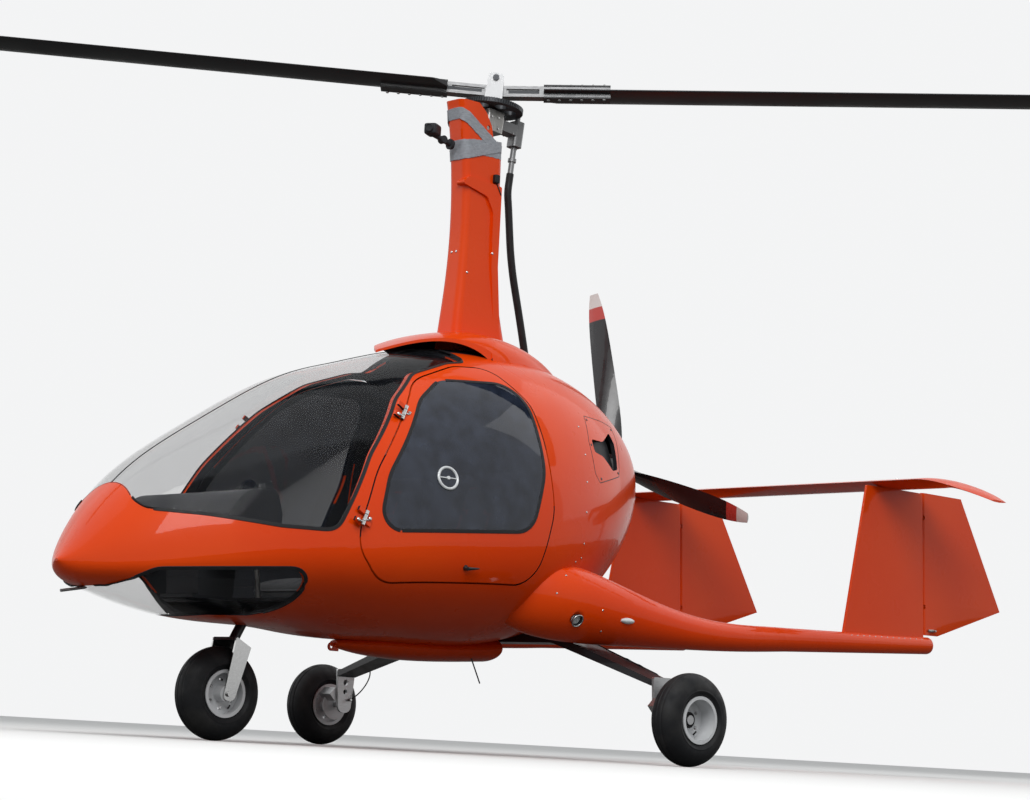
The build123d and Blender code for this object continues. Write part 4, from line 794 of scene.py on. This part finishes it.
for name, body, pane in (("windscreenSeal", "airframe", "windscreen"),
                         ("chinWindowSeal", "airframe", "chin_window"),
                         ("doorWindowSealLeft", "door_l", "door_glass_left"),
                         ("doorWindowSealRight", "door_r", "door_glass_right")):
    makePiece(name, body, "sleeveRubber", sealShapes(pane, seals))
print("window seals laid")

# canopy seam: a thin bead along the windscreen's middle
seam = dict(
    heart=(0, -0.9, 0.95), start=(0, -1.885, 0.985), end=(0, -0.42, 1.72), steps=60, reach=3.0, width=0.006,
    root=-0.001, height=0.0018,
)


def seamShapes(s):
    # rays towards the cabin's heart, fanned between the two ends, find the pane's outside
    heart = Vector(s["heart"])
    first, last = ((Vector(s[k]) - heart).normalized() for k in ("start", "end"))
    rays = [first.slerp(last, share) for share in np.linspace(0, 1, s["steps"])]
    path, out = zip(*(struck("cabin", heart + ray * s["reach"], -ray) for ray in rays))
    return [carried(path, strip(s["width"], s["root"], s["height"]), np.array(out))]


makePiece("canopySeam", "airframe", "sleeveRubber", seamShapes(seam))

# fasteners: profiles are radius, height over the skin; places in metres on the left side
rivets = dict(
    profile=[(0.0045, -0.001), (0.0045, 0.00066), (0.0027, 0.0022)], sides=16,
    places=[(0.566, 0.09, 1.416), (0.62, 0.089, 1.293), (0.654, 0.076, 1.173), (0.673, 0.064, 1.042),
            (0.676, 0.056, 0.907), (0.666, 0.053, 0.846), (0.672, 0.016, 0.826), (0.706, -0.066, 0.763),
            (0.71, -0.117, 0.684), (0.745, 0.113, 0.542), (0.778, 0.088, 0.628)],
)
hatch = dict(
    corners=[(0.172, 1.476), (0.328, 1.475), (0.435, 1.466), (0.438, 1.409), (0.379, 1.233), (0.182, 1.181),
             (0.149, 1.22), (0.14, 1.354)],
    gap=0.012, width=0.0035, root=-0.001, height=0.0006,
)
hatchScrews = dict(
    profile=[(0.006, 0), (0.006, 0.001), (0.004, 0.002)], sides=16,
    places=[(0.182, 1.46), (0.42, 1.45), (0.372, 1.248), (0.196, 1.2), (0.156, 1.345)],
)


def hatchShapes(s):
    # the outline in the side view, carried in from the left onto the cowl
    ring = np.array(s["corners"] + s["corners"][:1])
    run = np.concatenate([[0], np.cumsum(np.linalg.norm(np.diff(ring, axis=0), axis=1))])
    at = np.arange(0, run[-1], s["gap"])
    even = zip(*(np.interp(at, run, ring[:, k]) for k in (0, 1)))
    path, out = zip(*(fromLeft("cowl", y, z) for y, z in even))
    return [carried(path, strip(s["width"], s["root"], s["height"]), np.array(out), closed=True)]


makePair("skinRivets", airframe, "polished", knobs(rivets, seatsOn("cabin", rivets["places"])))
makePair("hatchOutline", airframe, "sleeveRubber", hatchShapes(hatch))
makePair("hatchScrews", airframe, "ringIron",
         knobs(hatchScrews, [fromLeft("cowl", *place) for place in hatchScrews["places"]]))

# hinges: sleeves on the hinge line, a stud on the shell and one on the door, a bent rod from each
hinge = dict(
    low=(0.6616, -1.1178, 0.8999), high=(0.5444, -0.8571, 1.3584), sleeve=0.0092, chamfer=0.001,
    middle=0.015, end=0.019, gap=0.001, linkRadius=0.0045, linkLift=0.004, linkBow=0.008,
    profile=[(0.006, -0.002), (0.006, 0.0035), (0.0075, 0.0045), (0.0075, 0.008), (0.00525, 0.010)], sides=24,
    linkSteps=12, fixed=[(0.549, -0.894, 1.348), (0.666, -1.158, 0.891)],
    moving=[(0.539, -0.826, 1.357), (0.657, -1.093, 0.899)],
)


def sleeveShapes(s, spans):
    # a sleeve from near to far along the hinge line, at each knuckle
    way = unit(np.subtract(s["high"], s["low"]))
    r, c = s["sleeve"], s["chamfer"]
    return [knob([(r - c, near), (r, near + c), (r, far - c), (r - c, far)], place, way, s["sides"])
            for place in (s["low"], s["high"]) for near, far in spans]


def linkShapes(s, studs, offset):
    # a curve from each stud, over a raised middle, to the sleeve at that distance along the hinge line
    way = unit(np.subtract(s["high"], s["low"]))
    shapes = []
    for place, stud in ((s["high"], studs[0]), (s["low"], studs[1])):
        out = nearest("cabin", stud)[1]
        start, end = np.array(stud) + out * s["linkLift"], place + way * offset
        path = curve([start, (start + end) / 2 + out * s["linkBow"], end], s["linkSteps"])
        shapes.append(carried(path, circle(s["linkRadius"]), out))
    return shapes


near, far = hinge["middle"] + hinge["gap"], hinge["middle"] + hinge["gap"] + hinge["end"]
for name, bodies, skin, studs, spans, offset in (
        ("hinge", airframe, "cabin", hinge["fixed"], [(near, far), (-far, -near)], -(near + far) / 2),
        ("hingeDoor", doors, "door", hinge["moving"], [(-hinge["middle"], hinge["middle"])], 0.0)):
    makePair(name + "Studs", bodies, "polished", knobs(hinge, seatsOn(skin, studs)))
    makePair(name + "Sleeves", bodies, "polished", sleeveShapes(hinge, spans))
    makePair(name + "Links", bodies, "polished", linkShapes(hinge, studs, offset))

# door vent: a rounded lip with a grip across it and a pivot, round a tinted disc
ventRing = dict(
    place=(0.684, -0.722, 1.101), radius=0.045, lip=0.006, lipLevel=0.002, disc=0.0414,
    discLevels=(0.0005, 0.0025), barWidth=0.005, barHalf=0.002, barLevel=0.004,
    pivot=[(0.009, 0), (0.0072, 0.008), (0, 0.009)],
)


def ventShapes(s):
    # lip, bar and pivot stand on the door's skin at the vent's place
    spot, out = nearest("door", s["place"])
    u = across(out)[0] * (s["radius"] - s["lip"])
    lift = spot + out * s["barLevel"]
    return [turned(lipOutline(s["radius"], s["lip"], s["lipLevel"]), spot, out, 64),
            carried(line(lift - u, lift + u, 9), strip(s["barWidth"], -s["barHalf"], s["barHalf"]), out),
            knob(s["pivot"], spot, out, 24)]


makePair("ventRing", doors, "clearLens", ventShapes(ventRing))
discProfile = [(ventRing["disc"], level) for level in ventRing["discLevels"]]
makePair("ventDisc", doors, "smokeWindow", [knob(discProfile, *nearest("door", ventRing["place"]), 48)])

# door handle: a tapered lever aft of a round boss
handle = dict(
    place=(0.702, -0.618, 0.747), length=0.062, aft=(0, 1, 0.1), thick=0.011, taper=0.6, fall=1.3, full=0.95,
    wide=1.5, lift=0.014, boss=[(0.012, -0.001), (0.012, 0.003), (0.0084, 0.01), (0.0072, 0.018), (0, 0.02)],
)


def handleShapes(s):
    # half thickness = thick / 2 * (full - taper * t ** fall) along the lever
    spot, out = nearest("door", s["place"])
    aft = unit(np.array(s["aft"]) - out * out[1])
    t = np.linspace(0, 1, 14)[:, None]
    size = s["thick"] * (s["full"] - s["taper"] * t ** s["fall"]) / 2
    path = spot + out * s["lift"] + aft * (t * s["length"])
    ring = circle(1, 16)[:, :1] * np.cross(out, aft) * s["wide"] + circle(1, 16)[:, 1:] * out
    return [closedGrid(path[:, None] + size[:, None] * ring), knob(s["boss"], spot, out, 24)]


makePair("doorHandle", doors, "springBlack", handleShapes(handle))
print("door furniture fitted")

# tyres: round crown, three grooves round the tread and a raised rib above each bead
tyreShape = dict(
    radius=0.190, half=0.068, bead=0.0923, beadHalf=0.052, wallCurve=1.6, crownSteps=121, wallSteps=26,
    grooves=(-0.021, 0.0, 0.021), grooveWidth=0.0028, grooveDepth=0.0035, rib=0.0018, ribAt=0.118,
    ribWidth=0.0035, ribGap=0.011, steps=96, sharp=60,
)
mainHub, rightHub, noseHub = (1.22, 0.181, 0.19), (-1.22, 0.181, 0.19), (0, -1.298, 0.19)


def tyreProfile(s):
    # half circle crown, then walls in to the beads; grooves and ribs by Gaussian dips
    waist = s["radius"] - s["half"]
    a = np.linspace(-np.pi / 2, np.pi / 2, s["crownSteps"])
    x, r = s["half"] * np.sin(a), waist + s["half"] * np.cos(a)
    for at in s["grooves"]:
        r = r - s["grooveDepth"] * np.exp(-((x - at) / s["grooveWidth"]) ** 4)
    t = np.linspace(0, 1, s["wallSteps"])[1:]
    wallR = waist + (s["bead"] - waist) * t
    wallX = s["half"] - (s["half"] - s["beadHalf"]) * t ** s["wallCurve"]
    for sign, at in ((1, s["ribAt"]), (-1, s["ribAt"] - s["ribGap"])):
        wallX = wallX + sign * s["rib"] * np.exp(-((wallR - at) / s["ribWidth"]) ** 2)
    left, right = np.stack([wallR, -wallX], 1)[::-1], np.stack([wallR, wallX], 1)
    return np.concatenate([left, np.stack([r, x], 1), right, left[:1]])


for name, body, centre in (("main_tyre_left", "wheel_l", mainHub), ("main_tyre_right", "wheel_r", rightHub),
                           ("nose_tyre", "nose_wheel", noseHub)):
    rubber = turned(tyreProfile(tyreShape), centre, (1, 0, 0), tyreShape["steps"])
    tyrePiece = makePiece(name + "Rubber", body, "tyreRubber", [rubber], tyreShape["sharp"])
    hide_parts(name)

# wheel trim: web bolts, a valve stem, and a dark seal round the main hubs; faces from the wheel's middle
wheelTrim = dict(
    profile=[(0.0058, 0), (0.0058, 0.0045), (0.00493, 0.006)], sides=6, circle=0.055, bolts=6,
    valve=0.0035, valveFoot=(0, 0.0432, -0.0576), valveTip=(0.022, -0.0084, 0.0112),
    mainFace=-0.0155, noseFace=0.0245, sealFace=-0.002,
    seal=[(0.0, 0.0), (0.032, 0.0), (0.033, -0.004), (0.033, 0.001), (0.0264, 0.004), (0.026, 0.004),
          (0.0234, 0.001), (0.014, 0.001), (0.012, 0.006), (0, 0.007)],
)


def webBolts(hub, face, s):
    # bolt k at the angle (k + 1/2) of the bolt circle
    a = 2 * np.pi * (np.arange(s["bolts"]) + 0.5) / s["bolts"]
    ring = np.stack([np.full_like(a, face), s["circle"] * np.cos(a), s["circle"] * np.sin(a)], 1)
    return knobs(s, [(place, (1, 0, 0)) for place in np.array(hub) + ring])


def valveShapes(hub, face, s):
    # a short rod from its foot to its tip
    foot = np.array(hub) + (face, 0, 0) + np.array(s["valveFoot"])
    return [carried(line(foot, foot + s["valveTip"], 6), circle(s["valve"], 10), (0, 0.8, 0.6))]


makePair("wheelBolts", wheels, "polished", webBolts(mainHub, wheelTrim["mainFace"], wheelTrim))
makePair("hubSeal", wheels, "sleeveRubber",
         [turned(wheelTrim["seal"], np.array(mainHub) + (wheelTrim["sealFace"], 0, 0), (1, 0, 0), 40)])
makePair("tyreValve", wheels, "sleeveRubber", valveShapes(mainHub, wheelTrim["mainFace"], wheelTrim))
noseFace = wheelTrim["noseFace"]
makePiece("noseWheelBolts", "nose_wheel", "polished", webBolts(noseHub, noseFace, wheelTrim))
makePiece("noseTyreValve", "nose_wheel", "sleeveRubber", valveShapes(noseHub, noseFace, wheelTrim))
print("tyres and wheel trim made")

# brake hoses: along the bow's rear edge, then in a loop to a union on the wheel bracket
brakeHose = dict(
    radius=0.003, start=(0.30, 0.40, 0.725), stop=(1.02, 0.40, 0.545), end=(1.041, 0.205, 0.215),
    drop=(0.012, 0.055, -0.035), rise=(-0.022, 0.055, 0.030), steps=28, loopSteps=16, sides=10,
    upward=(0, 0.3, 1), union=[(0.0049, -0.016), (0.007, -0.0128), (0.007, 0.004)],
)


def hoseShapes(s):
    # points of the bow under a line above its rear edge, then a cubic curve to the union
    rear = seatsOn("bow", line(s["start"], s["stop"], s["steps"]))
    path = [spot + out * s["radius"] for spot, out in rear]
    loop = curve([path[-1], path[-1] + s["drop"], np.add(s["end"], s["rise"]), s["end"]], s["loopSteps"])
    return [carried(np.concatenate([path, loop[1:]]), circle(s["radius"], s["sides"]), s["upward"])]


makePair("brakeHose", airframe, "sleeveRubber", hoseShapes(brakeHose))
makePair("brakeUnion", airframe, "polished", [knob(brakeHose["union"], brakeHose["end"], (1, 0, 0), 6)])
print("brake hoses fitted")

# mast: grey tape wound round its top, a small camera on an arm, screws and a plug
tape = dict(middle=(0.0, -0.07), reach=0.5, steps=120, passes=4, gap=0.006, width=0.05, thick=0.0016,
            root=-0.001, layer=0.6, wrinkle=0.0013, seed=4,
            bands=[(2.664, 0.0), (2.684, 0.12), (2.708, -0.62), (2.676, 0.34)])  # level, slope


def bandShapes(s):
    # a loop where a tilted plane z = level + slope * (y - middle) cuts the mast, with a wrinkled edge
    noise = np.random.default_rng(s["seed"])
    shapes = []
    for number, (level, slope) in enumerate(s["bands"]):
        hits = []
        for a in np.linspace(0, 2 * np.pi, s["steps"], endpoint=False):
            way = np.array((sin(a), -cos(a), 0.0))
            start = np.array((*s["middle"], level)) + way * s["reach"]
            for _ in range(s["passes"]):
                found = struck("mast", start, -way)
                if found is None:
                    break
                start[2] = level + slope * (found[0][1] - s["middle"][1])
            if found:
                hits.append(found)
        path, out = evenLoop(*(np.array(row) for row in zip(*hits)), s["gap"])
        path[:, 2] += noise.normal(0, s["wrinkle"], len(path))
        lift = s["thick"] * number * s["layer"]
        shapes.append(carried(path, strip(s["width"], lift + s["root"], lift + s["thick"]), out, closed=True))
    return shapes


actionCamera = dict(
    foot=(0.0, -0.243, 2.668), elbow=(0.0, -0.292, 2.680), body=(0.0, -0.352, 2.712),
    half=(0.029, 0.040, 0.025), sharpness=0.3, turn=30.0, armRadius=0.013, armTop=0.0117, armInset=0.018,
    elbowJoint=[(0.016, -0.016), (0.018, -0.013), (0.018, 0.013), (0.016, 0.016)],
    footJoint=[(0.022, -0.006), (0.024, 0.002), (0.024, 0.010)], lensInset=0.002, buttonInset=0.0005,
    lens=[(0.018, 0), (0.018, 0.009), (0.0153, 0.011), (0.0126, 0.008), (0, 0.006)],
    button=[(0.006, 0), (0.006, 0.002)],
)


def cameraShapes(s):
    # a block turned about Z, on two round arms with a joint at each lower end
    foot, elbow, body = (np.array(s[k]) for k in ("foot", "elbow", "body"))
    a, up = radians(s["turn"]), np.array((0, 0, 1.0))
    side, ahead = np.array((cos(a), sin(a), 0.0)), np.array((sin(a), -cos(a), 0.0))
    return [carried(line(foot, elbow, 8), circle(s["armRadius"], 14), up),
            carried(line(elbow, body - up * s["armInset"], 8), circle(s["armTop"], 14), up),
            knob(s["elbowJoint"], elbow, (1, 0, 0), 24), knob(s["footJoint"], foot, (0, -1, 0), 24),
            pebble(body, [side, ahead, up], s["half"], s["sharpness"]),
            knob(s["lens"], body + ahead * (s["half"][1] - s["lensInset"]), ahead, 28),
            knob(s["button"], body + up * (s["half"][2] - s["buttonInset"]), up, 16)]


mastScrews = dict(
    profile=[(0.006, -0.001), (0.006, 0.0009), (0.0036, 0.003)], sides=16,
    places=[(-0.015, -0.30, 2.197), (0.015, -0.30, 2.197), (0.09, -0.025, 2.205), (0.09, -0.16, 2.10)],
)
mastPlug = dict(
    place=(0.09, -0.025, 2.543), half=(0.011, 0.014, 0.020), sharpness=0.3, sink=0.8, wire=0.003,
    wireLift=0.012, wireDrop=(0, 0, -0.018), wireRun=(0, 0.03, -0.05),
)


def plugShapes(s):
    # a rounded block set into the mast's side, with a short wire below it
    spot, out = nearest("mast", s["place"])
    start = spot + out * s["wireLift"] + s["wireDrop"]
    return [pebble(spot + out * s["half"][0] * s["sink"], [out, *across(out)], s["half"], s["sharpness"]),
            carried(line(start, start + s["wireRun"], 10), circle(s["wire"], 8), (1, 0, 0))]


makePiece("mastTape", "airframe", "greyTape", bandShapes(tape))
makePiece("mastCamera", "airframe", "cabinTrim", cameraShapes(actionCamera))
makePiece("mastScrews", "airframe", "polished", knobs(mastScrews, seatsOn("mast", mastScrews["places"])))
makePiece("mastPlug", "airframe", "sleeveRubber", plugShapes(mastPlug))
print("mast dressed")

# rotor: bolts through the blade grips, dark strips along the hub bar as painted shade of its side grooves,
# bolts on head and gearbox
barGuess = (0.67, 0.74)
gripBolts = dict(
    profile=[(0.0075, -0.0005), (0.0075, 0.004), (0.006375, 0.0055)], sides=6,
    reaches=(0.24, 0.29, 0.34, 0.39, 0.44, 0.49),
)
# dark strips on the hub bar's sides: painted shade of its grooves
channel = dict(reach=(0.06, 0.36), steps=12, side=0.3, width=0.016, half=0.001)
headBolts = dict(profile=[(0.0055, -0.0005), (0.0055, 0.00325), (0.004675, 0.0045)], sides=6, rays=[
    ((0.06, y, z), (-1, 0, 0)) for y, z in ((-0.05, 2.78), (-0.01, 2.83), (-0.05, 2.83), (-0.01, 2.78))])
gearboxBolts = dict(profile=[(0.0048, -0.0005), (0.0048, 0.0025), (0.00408, 0.0035)], sides=6, rays=[
    ((0.06, y, z), (-1, 0, 0)) for y, z in ((0.05, 2.70), (0.09, 2.70), (0.05, 2.78), (0.09, 2.78))] + [
    ((0.0, 0.2, z), (0, -1, 0)) for z in (2.72, 2.76)])
above, below = (4.0, (0, 0, -1)), (2.0, (0, 0, 1))


def barLine(guess):
    # the hub bar's direction on the ground, read from its own ends
    points = np.array([v.co for v in nodes["hub_bar"].data.vertices])[:, :2]
    run = points @ guess
    return unit(points[np.argmax(run)] - points[np.argmin(run)])


def gripSeats(reaches, way):
    # rays down and up at each reach along the bar, to both ends
    rays = [((*way * t * end, start), down)
            for t in reaches for end in (-1, 1) for start, down in (above, below)]
    return [seat for seat in (struck("grips", *ray) for ray in rays) if seat]


def grooveShadeShapes(s, way):
    # a dark band at mid height on each side of the bar, painted shade of its groove: its height is halfway
    # between rays from above and below
    square = np.array((-way[1], way[0], 0.0))
    shapes = []
    for end in (-1, 1):
        for face in (square * -1, square):
            path = []
            for x, y in way * np.linspace(*s["reach"], s["steps"])[:, None] * end:
                levels = [struck("bar", (x, y, start), down) for start, down in (above, below)]
                if all(levels):
                    middle = sum(spot[2] for spot, _ in levels) / 2
                    found = struck("bar", np.array((x, y, middle)) + face * s["side"], -face)
                    path += [found[0]] if found else []
            if len(path) > 3:
                shapes.append(carried(path, strip(s["width"], -s["half"], s["half"]), face))
    return shapes


def bothSeats(skin, rays):
    # where each ray and its mirror image meet the skin
    pairs = [(np.multiply(start, (sign, 1, 1)), np.multiply(way, (sign, 1, 1)))
             for start, way in rays for sign in (1, -1) if sign == 1 or start[0]]
    return [seat for seat in (struck(skin, *ray) for ray in pairs) if seat]


bar = barLine(barGuess)
makePiece("gripBolts", "seesaw", "polished", knobs(gripBolts, gripSeats(gripBolts["reaches"], bar)))
makePiece("hubBarGrooveShade", "seesaw", "ringIron", grooveShadeShapes(channel, bar))
makePiece("headBolts", "airframe", "polished", knobs(headBolts, bothSeats("head", headBolts["rays"])))
makePiece("gearboxBolts", "airframe", "polished",
          knobs(gearboxBolts, bothSeats("gearbox", gearboxBolts["rays"])))
print("rotor head dressed")

# seats: quilted pads with piping, on dark bases, and a red harness
seat = dict(
    x=0.33, halfWidth=0.225, pan=dict(middle=(-0.595, 0.664), half=(0.20, 0.056), tilt=5.0),
    back=dict(middle=(-0.232, 0.925), half=(0.295, 0.052), tilt=74.5), sharpness=0.42, edge=0.75, rows=34,
    columns=112, crown=0.16, channels=(-0.5, 0.0, 0.5), crossSeam=0.72, channelDepth=0.15, channelWidth=0.045,
    pull=0.05, piping=0.0045, pipingOut=1.004, rimSteps=120, rimGap=0.012, sharp=60, footZ=0.602,
    foot=(0.2025, 0.19, 0.028), footSharpness=0.2, shell=(0.20925, 0.2891, 0.030), shellSharpness=0.25,
    shellBack=0.035,
)


def tiltAxes(degrees):
    # X, and Y and Z turned about X
    a = radians(degrees)
    return np.array([(1, 0, 0), (0, cos(a), sin(a)), (0, -sin(a), cos(a))])


def padShapes(pad, s):
    # a rounded block: sides pulled in by pull * (1 - t * t), top lowered by a Gaussian at each channel
    sharp, (halfLength, halfThick), axes = s["sharpness"], pad["half"], tiltAxes(pad["tilt"])
    v = np.linspace(-np.pi / 2, np.pi / 2, s["rows"])[:, None]
    u = np.linspace(0, 2 * np.pi, s["columns"], endpoint=False)[None]
    x, y = (power(np.cos(v), sharp) * power(wave(u), sharp) for wave in (np.cos, np.sin))
    z = power(np.sin(v), s["edge"]) * np.ones_like(u)
    pulled = lambda a, b: a * (1 - s["pull"] * (1 - b * b))
    dip = sum(np.exp(-((w - at) / s["channelWidth"]) ** 2)
              for w, at in [(x, c) for c in s["channels"]] + [(y, s["crossSeam"])])
    crown = 1 - s["crown"] + s["crown"] * (1 - x * x) * (1 - y * y)
    high = np.where(z > 0, z * (crown - s["channelDepth"] * dip * (1 - np.abs(y) ** 6)), z)
    local = np.stack([pulled(x, y) * s["halfWidth"], pulled(y, x) * halfLength, high * halfThick], -1)
    middle = np.array((s["x"], *pad["middle"]))
    t = np.linspace(0, 2 * np.pi, s["rimSteps"], endpoint=False)
    x, y = power(np.cos(t), sharp), power(np.sin(t), sharp)
    rim = np.stack([pulled(x, y) * s["halfWidth"], pulled(y, x) * halfLength, 0 * t], -1) * s["pipingOut"]
    path = evenLoop(middle + rim @ axes, np.broadcast_to(axes[2], rim.shape), s["rimGap"])[0]
    return [((middle + local @ axes).reshape(-1, 3), gridFaces(s["rows"], s["columns"])),
            carried(path, circle(s["piping"], 8), axes[2], closed=True)]


def baseShapes(s):
    # a dark foot under the pan, and a shell behind the back
    axes = tiltAxes(s["back"]["tilt"])
    behind = np.array((s["x"], *s["back"]["middle"])) - axes[2] * s["shellBack"]
    return [pebble((s["x"], s["pan"]["middle"][0], s["footZ"]), np.eye(3), s["foot"], s["footSharpness"]),
            pebble(behind, axes, s["shell"], s["shellSharpness"])]


harness = dict(
    width=0.045, thick=0.0022, lift=0.0015, shoulder=0.075, shoulderFoot=(-0.36, 0.76),
    shoulderTop=(-0.16, 1.22), lapFront=(-0.62, 0.80), lapBack=(-0.42, 0.80), lapIn=0.03,
    buckle=[(0.026, 0), (0.028, 0.004), (0.028, 0.012), (0.022, 0.016)],
)


def strapShapes(s, x):
    # each strap lies on the pads: points of the pads' skin under a line in front of them, softened
    shapes = []
    for side in (-1, 1):
        at = x + side * s["shoulder"]
        for path in (line((at, *s["shoulderFoot"]), (at, *s["shoulderTop"]), 26),
                     line((at - side * s["lapIn"], *s["lapFront"]), (at, *s["lapBack"]), 14)):
            spots, out = zip(*(nearest("pads", p) for p in path))
            path = np.array(spots) + np.array(out) * s["lift"]
            for _ in range(3):
                path[1:-1] = (path[:-2] + 2 * path[1:-1] + path[2:]) / 4
            shapes.append(carried(path, strip(s["width"], 0.0, s["thick"]), unit(out)))
    return shapes + [knob(s["buckle"], *nearest("pads", (x, *s["lapFront"])), 28)]


def treeOf(shapes):
    # a search tree over the shapes' points and faces
    points, faces = [], []
    for grid, quads in shapes:
        faces += (quads + len(points)).tolist()
        points += grid.tolist()
    return BVHTree.FromPolygons([Vector(p) for p in points], faces)


pan, back = padShapes(seat["pan"], seat), padShapes(seat["back"], seat)
skins["pads"] = treeOf([pan[0], back[0]])
for panPiece, backPiece in zip(makePair("seatPan", airframe, "seatCloth", pan, seat["sharp"]),
                               makePair("seatBack", airframe, "seatCloth", back, seat["sharp"])):
    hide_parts("seat_cushions")
    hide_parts("seat_backs")
makePair("seatBase", airframe, "cabinTrim", baseShapes(seat))
makePair("harness", airframe, "redWebbing", strapShapes(harness, seat["x"]))
print("seats and harness made")

# instrument panel: two plain screens, round dials, knobs
dash = dict(
    rayFrom=-1.1,      # metres along Y, behind the panel
    screens=[(0.20, 0.900), (-0.20, 0.900)], screenHalf=(0.105, 0.062, 0.007), screenLift=0.004,
    sharpness=0.14,
    dials=[(0.045, 0.935, 0.034), (-0.045, 0.935, 0.034), (0.045, 0.862, 0.028), (-0.045, 0.862, 0.028)],
    # share of the dial's radius, height
    dial=[(0.86, 0.002), (0.9, 0.006), (1.0, 0.006), (1.03, 0.003), (1.03, -0.001)],
    needle=(-0.2, 0.75), needleLean=0.6, needleWidth=0.003, needleHalf=0.001, needleLift=0.004,
    profile=[(0.009, -0.001), (0.009, 0.009), (0.007, 0.012)], sides=20, knobX=(0.10, 0.15, 0.20),
    knobZ=0.822,
)


def dashSeat(x, z):
    # a ray from the seats onto the panel
    return struck("dash", (x, dash["rayFrom"], z), (0, -1, 0))


def screenShapes(s):
    # a rounded block lying on the panel at each screen
    shapes = []
    for x, z in s["screens"]:
        spot, out = dashSeat(x, z)
        axes = [(1, 0, 0), unit(np.cross(out, (1, 0, 0))), out]
        shapes.append(pebble(spot + out * s["screenLift"], axes, s["screenHalf"], s["sharpness"]))
    return shapes


def dialShapes(s):
    # a stepped rim whose radii are shares of the dial's, and a leaning needle
    shapes = []
    for x, z, r in s["dials"]:
        spot, out = dashSeat(x, z)
        needle = unit(unit(np.cross(out, (1, 0, 0))) + np.array((s["needleLean"], 0, 0)))
        middle = spot + out * s["needleLift"]
        ends = (middle + needle * r * share for share in s["needle"])
        shapes += [knob([(share * r, level) for share, level in s["dial"]], spot, out, 40),
                   carried(line(*ends, 5), strip(s["needleWidth"], -s["needleHalf"], s["needleHalf"]), out)]
    return shapes


makePiece("dashScreens", "airframe", "screenGlass", screenShapes(dash))
makePiece("dashDials", "airframe", "ringIron", dialShapes(dash))
makePiece("dashKnobs", "airframe", "polished",
          knobs(dash, [dashSeat(sign * x, dash["knobZ"]) for sign in (1, -1) for x in dash["knobX"]]))
print("instrument panel dressed")

# lights: bezels and dark cups at the boom lamps, a small light on each boom's end
lamp = dict(
    place=(0.737, -0.016, 0.577), facing=(0.86, 0.0, -0.51), bezel=0.0265, tube=0.0035, lift=0.001,
    cup=[(0.026, 0.001), (0.0215, -0.012), (0.0205, -0.012), (0.025, 0.001), (0.026, 0.001)],
)
boomEnd = dict(place=(0.80, 2.30, 0.612), half=(0.012, 0.012, 0.008), lift=0.002, sharpness=0.8)
spot, out = nearest("boom", boomEnd["place"])
makePair("lampBezel", airframe, "polished",
         [turned(lipOutline(lamp["bezel"], lamp["tube"]), lamp["place"] + unit(lamp["facing"]) * lamp["lift"],
                 lamp["facing"])])
makePair("lampCup", airframe, "cabinTrim", [turned(lamp["cup"], lamp["place"], lamp["facing"])])
makePair("boomEndLight", airframe, "clearLens",
         [pebble(spot + out * boomEnd["lift"], [*across(out), out], boomEnd["half"], boomEnd["sharpness"])])

# tail: a row of rivets at each fin's foot, a horn with a pin on each rudder, a stud over each fin
finFoot = dict(
    profile=[(0.0035, -0.001), (0.0035, 0.00048), (0.0021, 0.0016)], sides=16, start=(0.835, 1.62, 0.640),
    stop=(0.835, 2.12, 0.655), count=13,
)
rudderHorn = dict(
    place=(0.800, 2.205, 0.690), half=(0.007, 0.026, 0.006), sharpness=0.3, out=0.0056, reach=0.3,
    pin=[(0.006, 0), (0.006, 0.0084), (0.0042, 0.012)], pinPlace=(0.0042, 0.012, 0),
)
tailStud = dict(profile=[(0.0112, -0.001), (0.0112, 0.003), (0.004, 0.005), (0.004, 0.0108), (0.008, 0.0126),
                         (0.0064, 0.018)], sides=24, above=(0.80, 1.93, 1.5))


def hornShapes(s):
    # a plate half sunk in the rudder's outer side, with a pin on it
    x, y, z = s["place"]
    side = fromLeft("rudder", y, z, x + s["reach"])[0][0]
    plate = np.array((side + s["out"], y, z))
    return [pebble(plate, np.eye(3), s["half"], s["sharpness"]),
            knob(s["pin"], plate + s["pinPlace"], (1, 0, 0), 20)]


rivetLine = line(finFoot["start"], finFoot["stop"], finFoot["count"])
makePair("finFootRivets", airframe, "polished", knobs(finFoot, seatsOn("boom", rivetLine)))
makePair("rudderHorn", rudders, "headSteel", hornShapes(rudderHorn))
makePair("tailStud", airframe, "polished", knobs(tailStud, [struck("tail", tailStud["above"], (0, 0, -1))]))

# side vents: a dark duct behind each opening of the cowl, its dark colour painted shade inside the vent
duct = dict(
    opening=(0.275, 1.335), around=[(-0.135, 0), (0.15, 0.0), (0, 0.11), (0, -0.11)],
    half=(0.030, 0.145, 0.105), depth=0.055, sharpness=0.5,
)


def ductShapes(s):
    # its axes follow four points of the cowl round the opening
    y, z = s["opening"]
    spots = [fromLeft("cowl", y + dy, z + dz)[0] for dy, dz in s["around"]]
    ahead, rise = unit(spots[1] - spots[0]), unit(spots[2] - spots[3])
    out = unit(np.cross(ahead, rise))
    out = out * np.sign(out[0])
    return [pebble(np.mean(spots, 0) - out * s["depth"], [out, ahead, rise], s["half"], s["sharpness"])]


makePair("ventDuctShade", airframe, "cabinTrim", ductShapes(duct))
print("lights, tail fittings and ducts fitted")
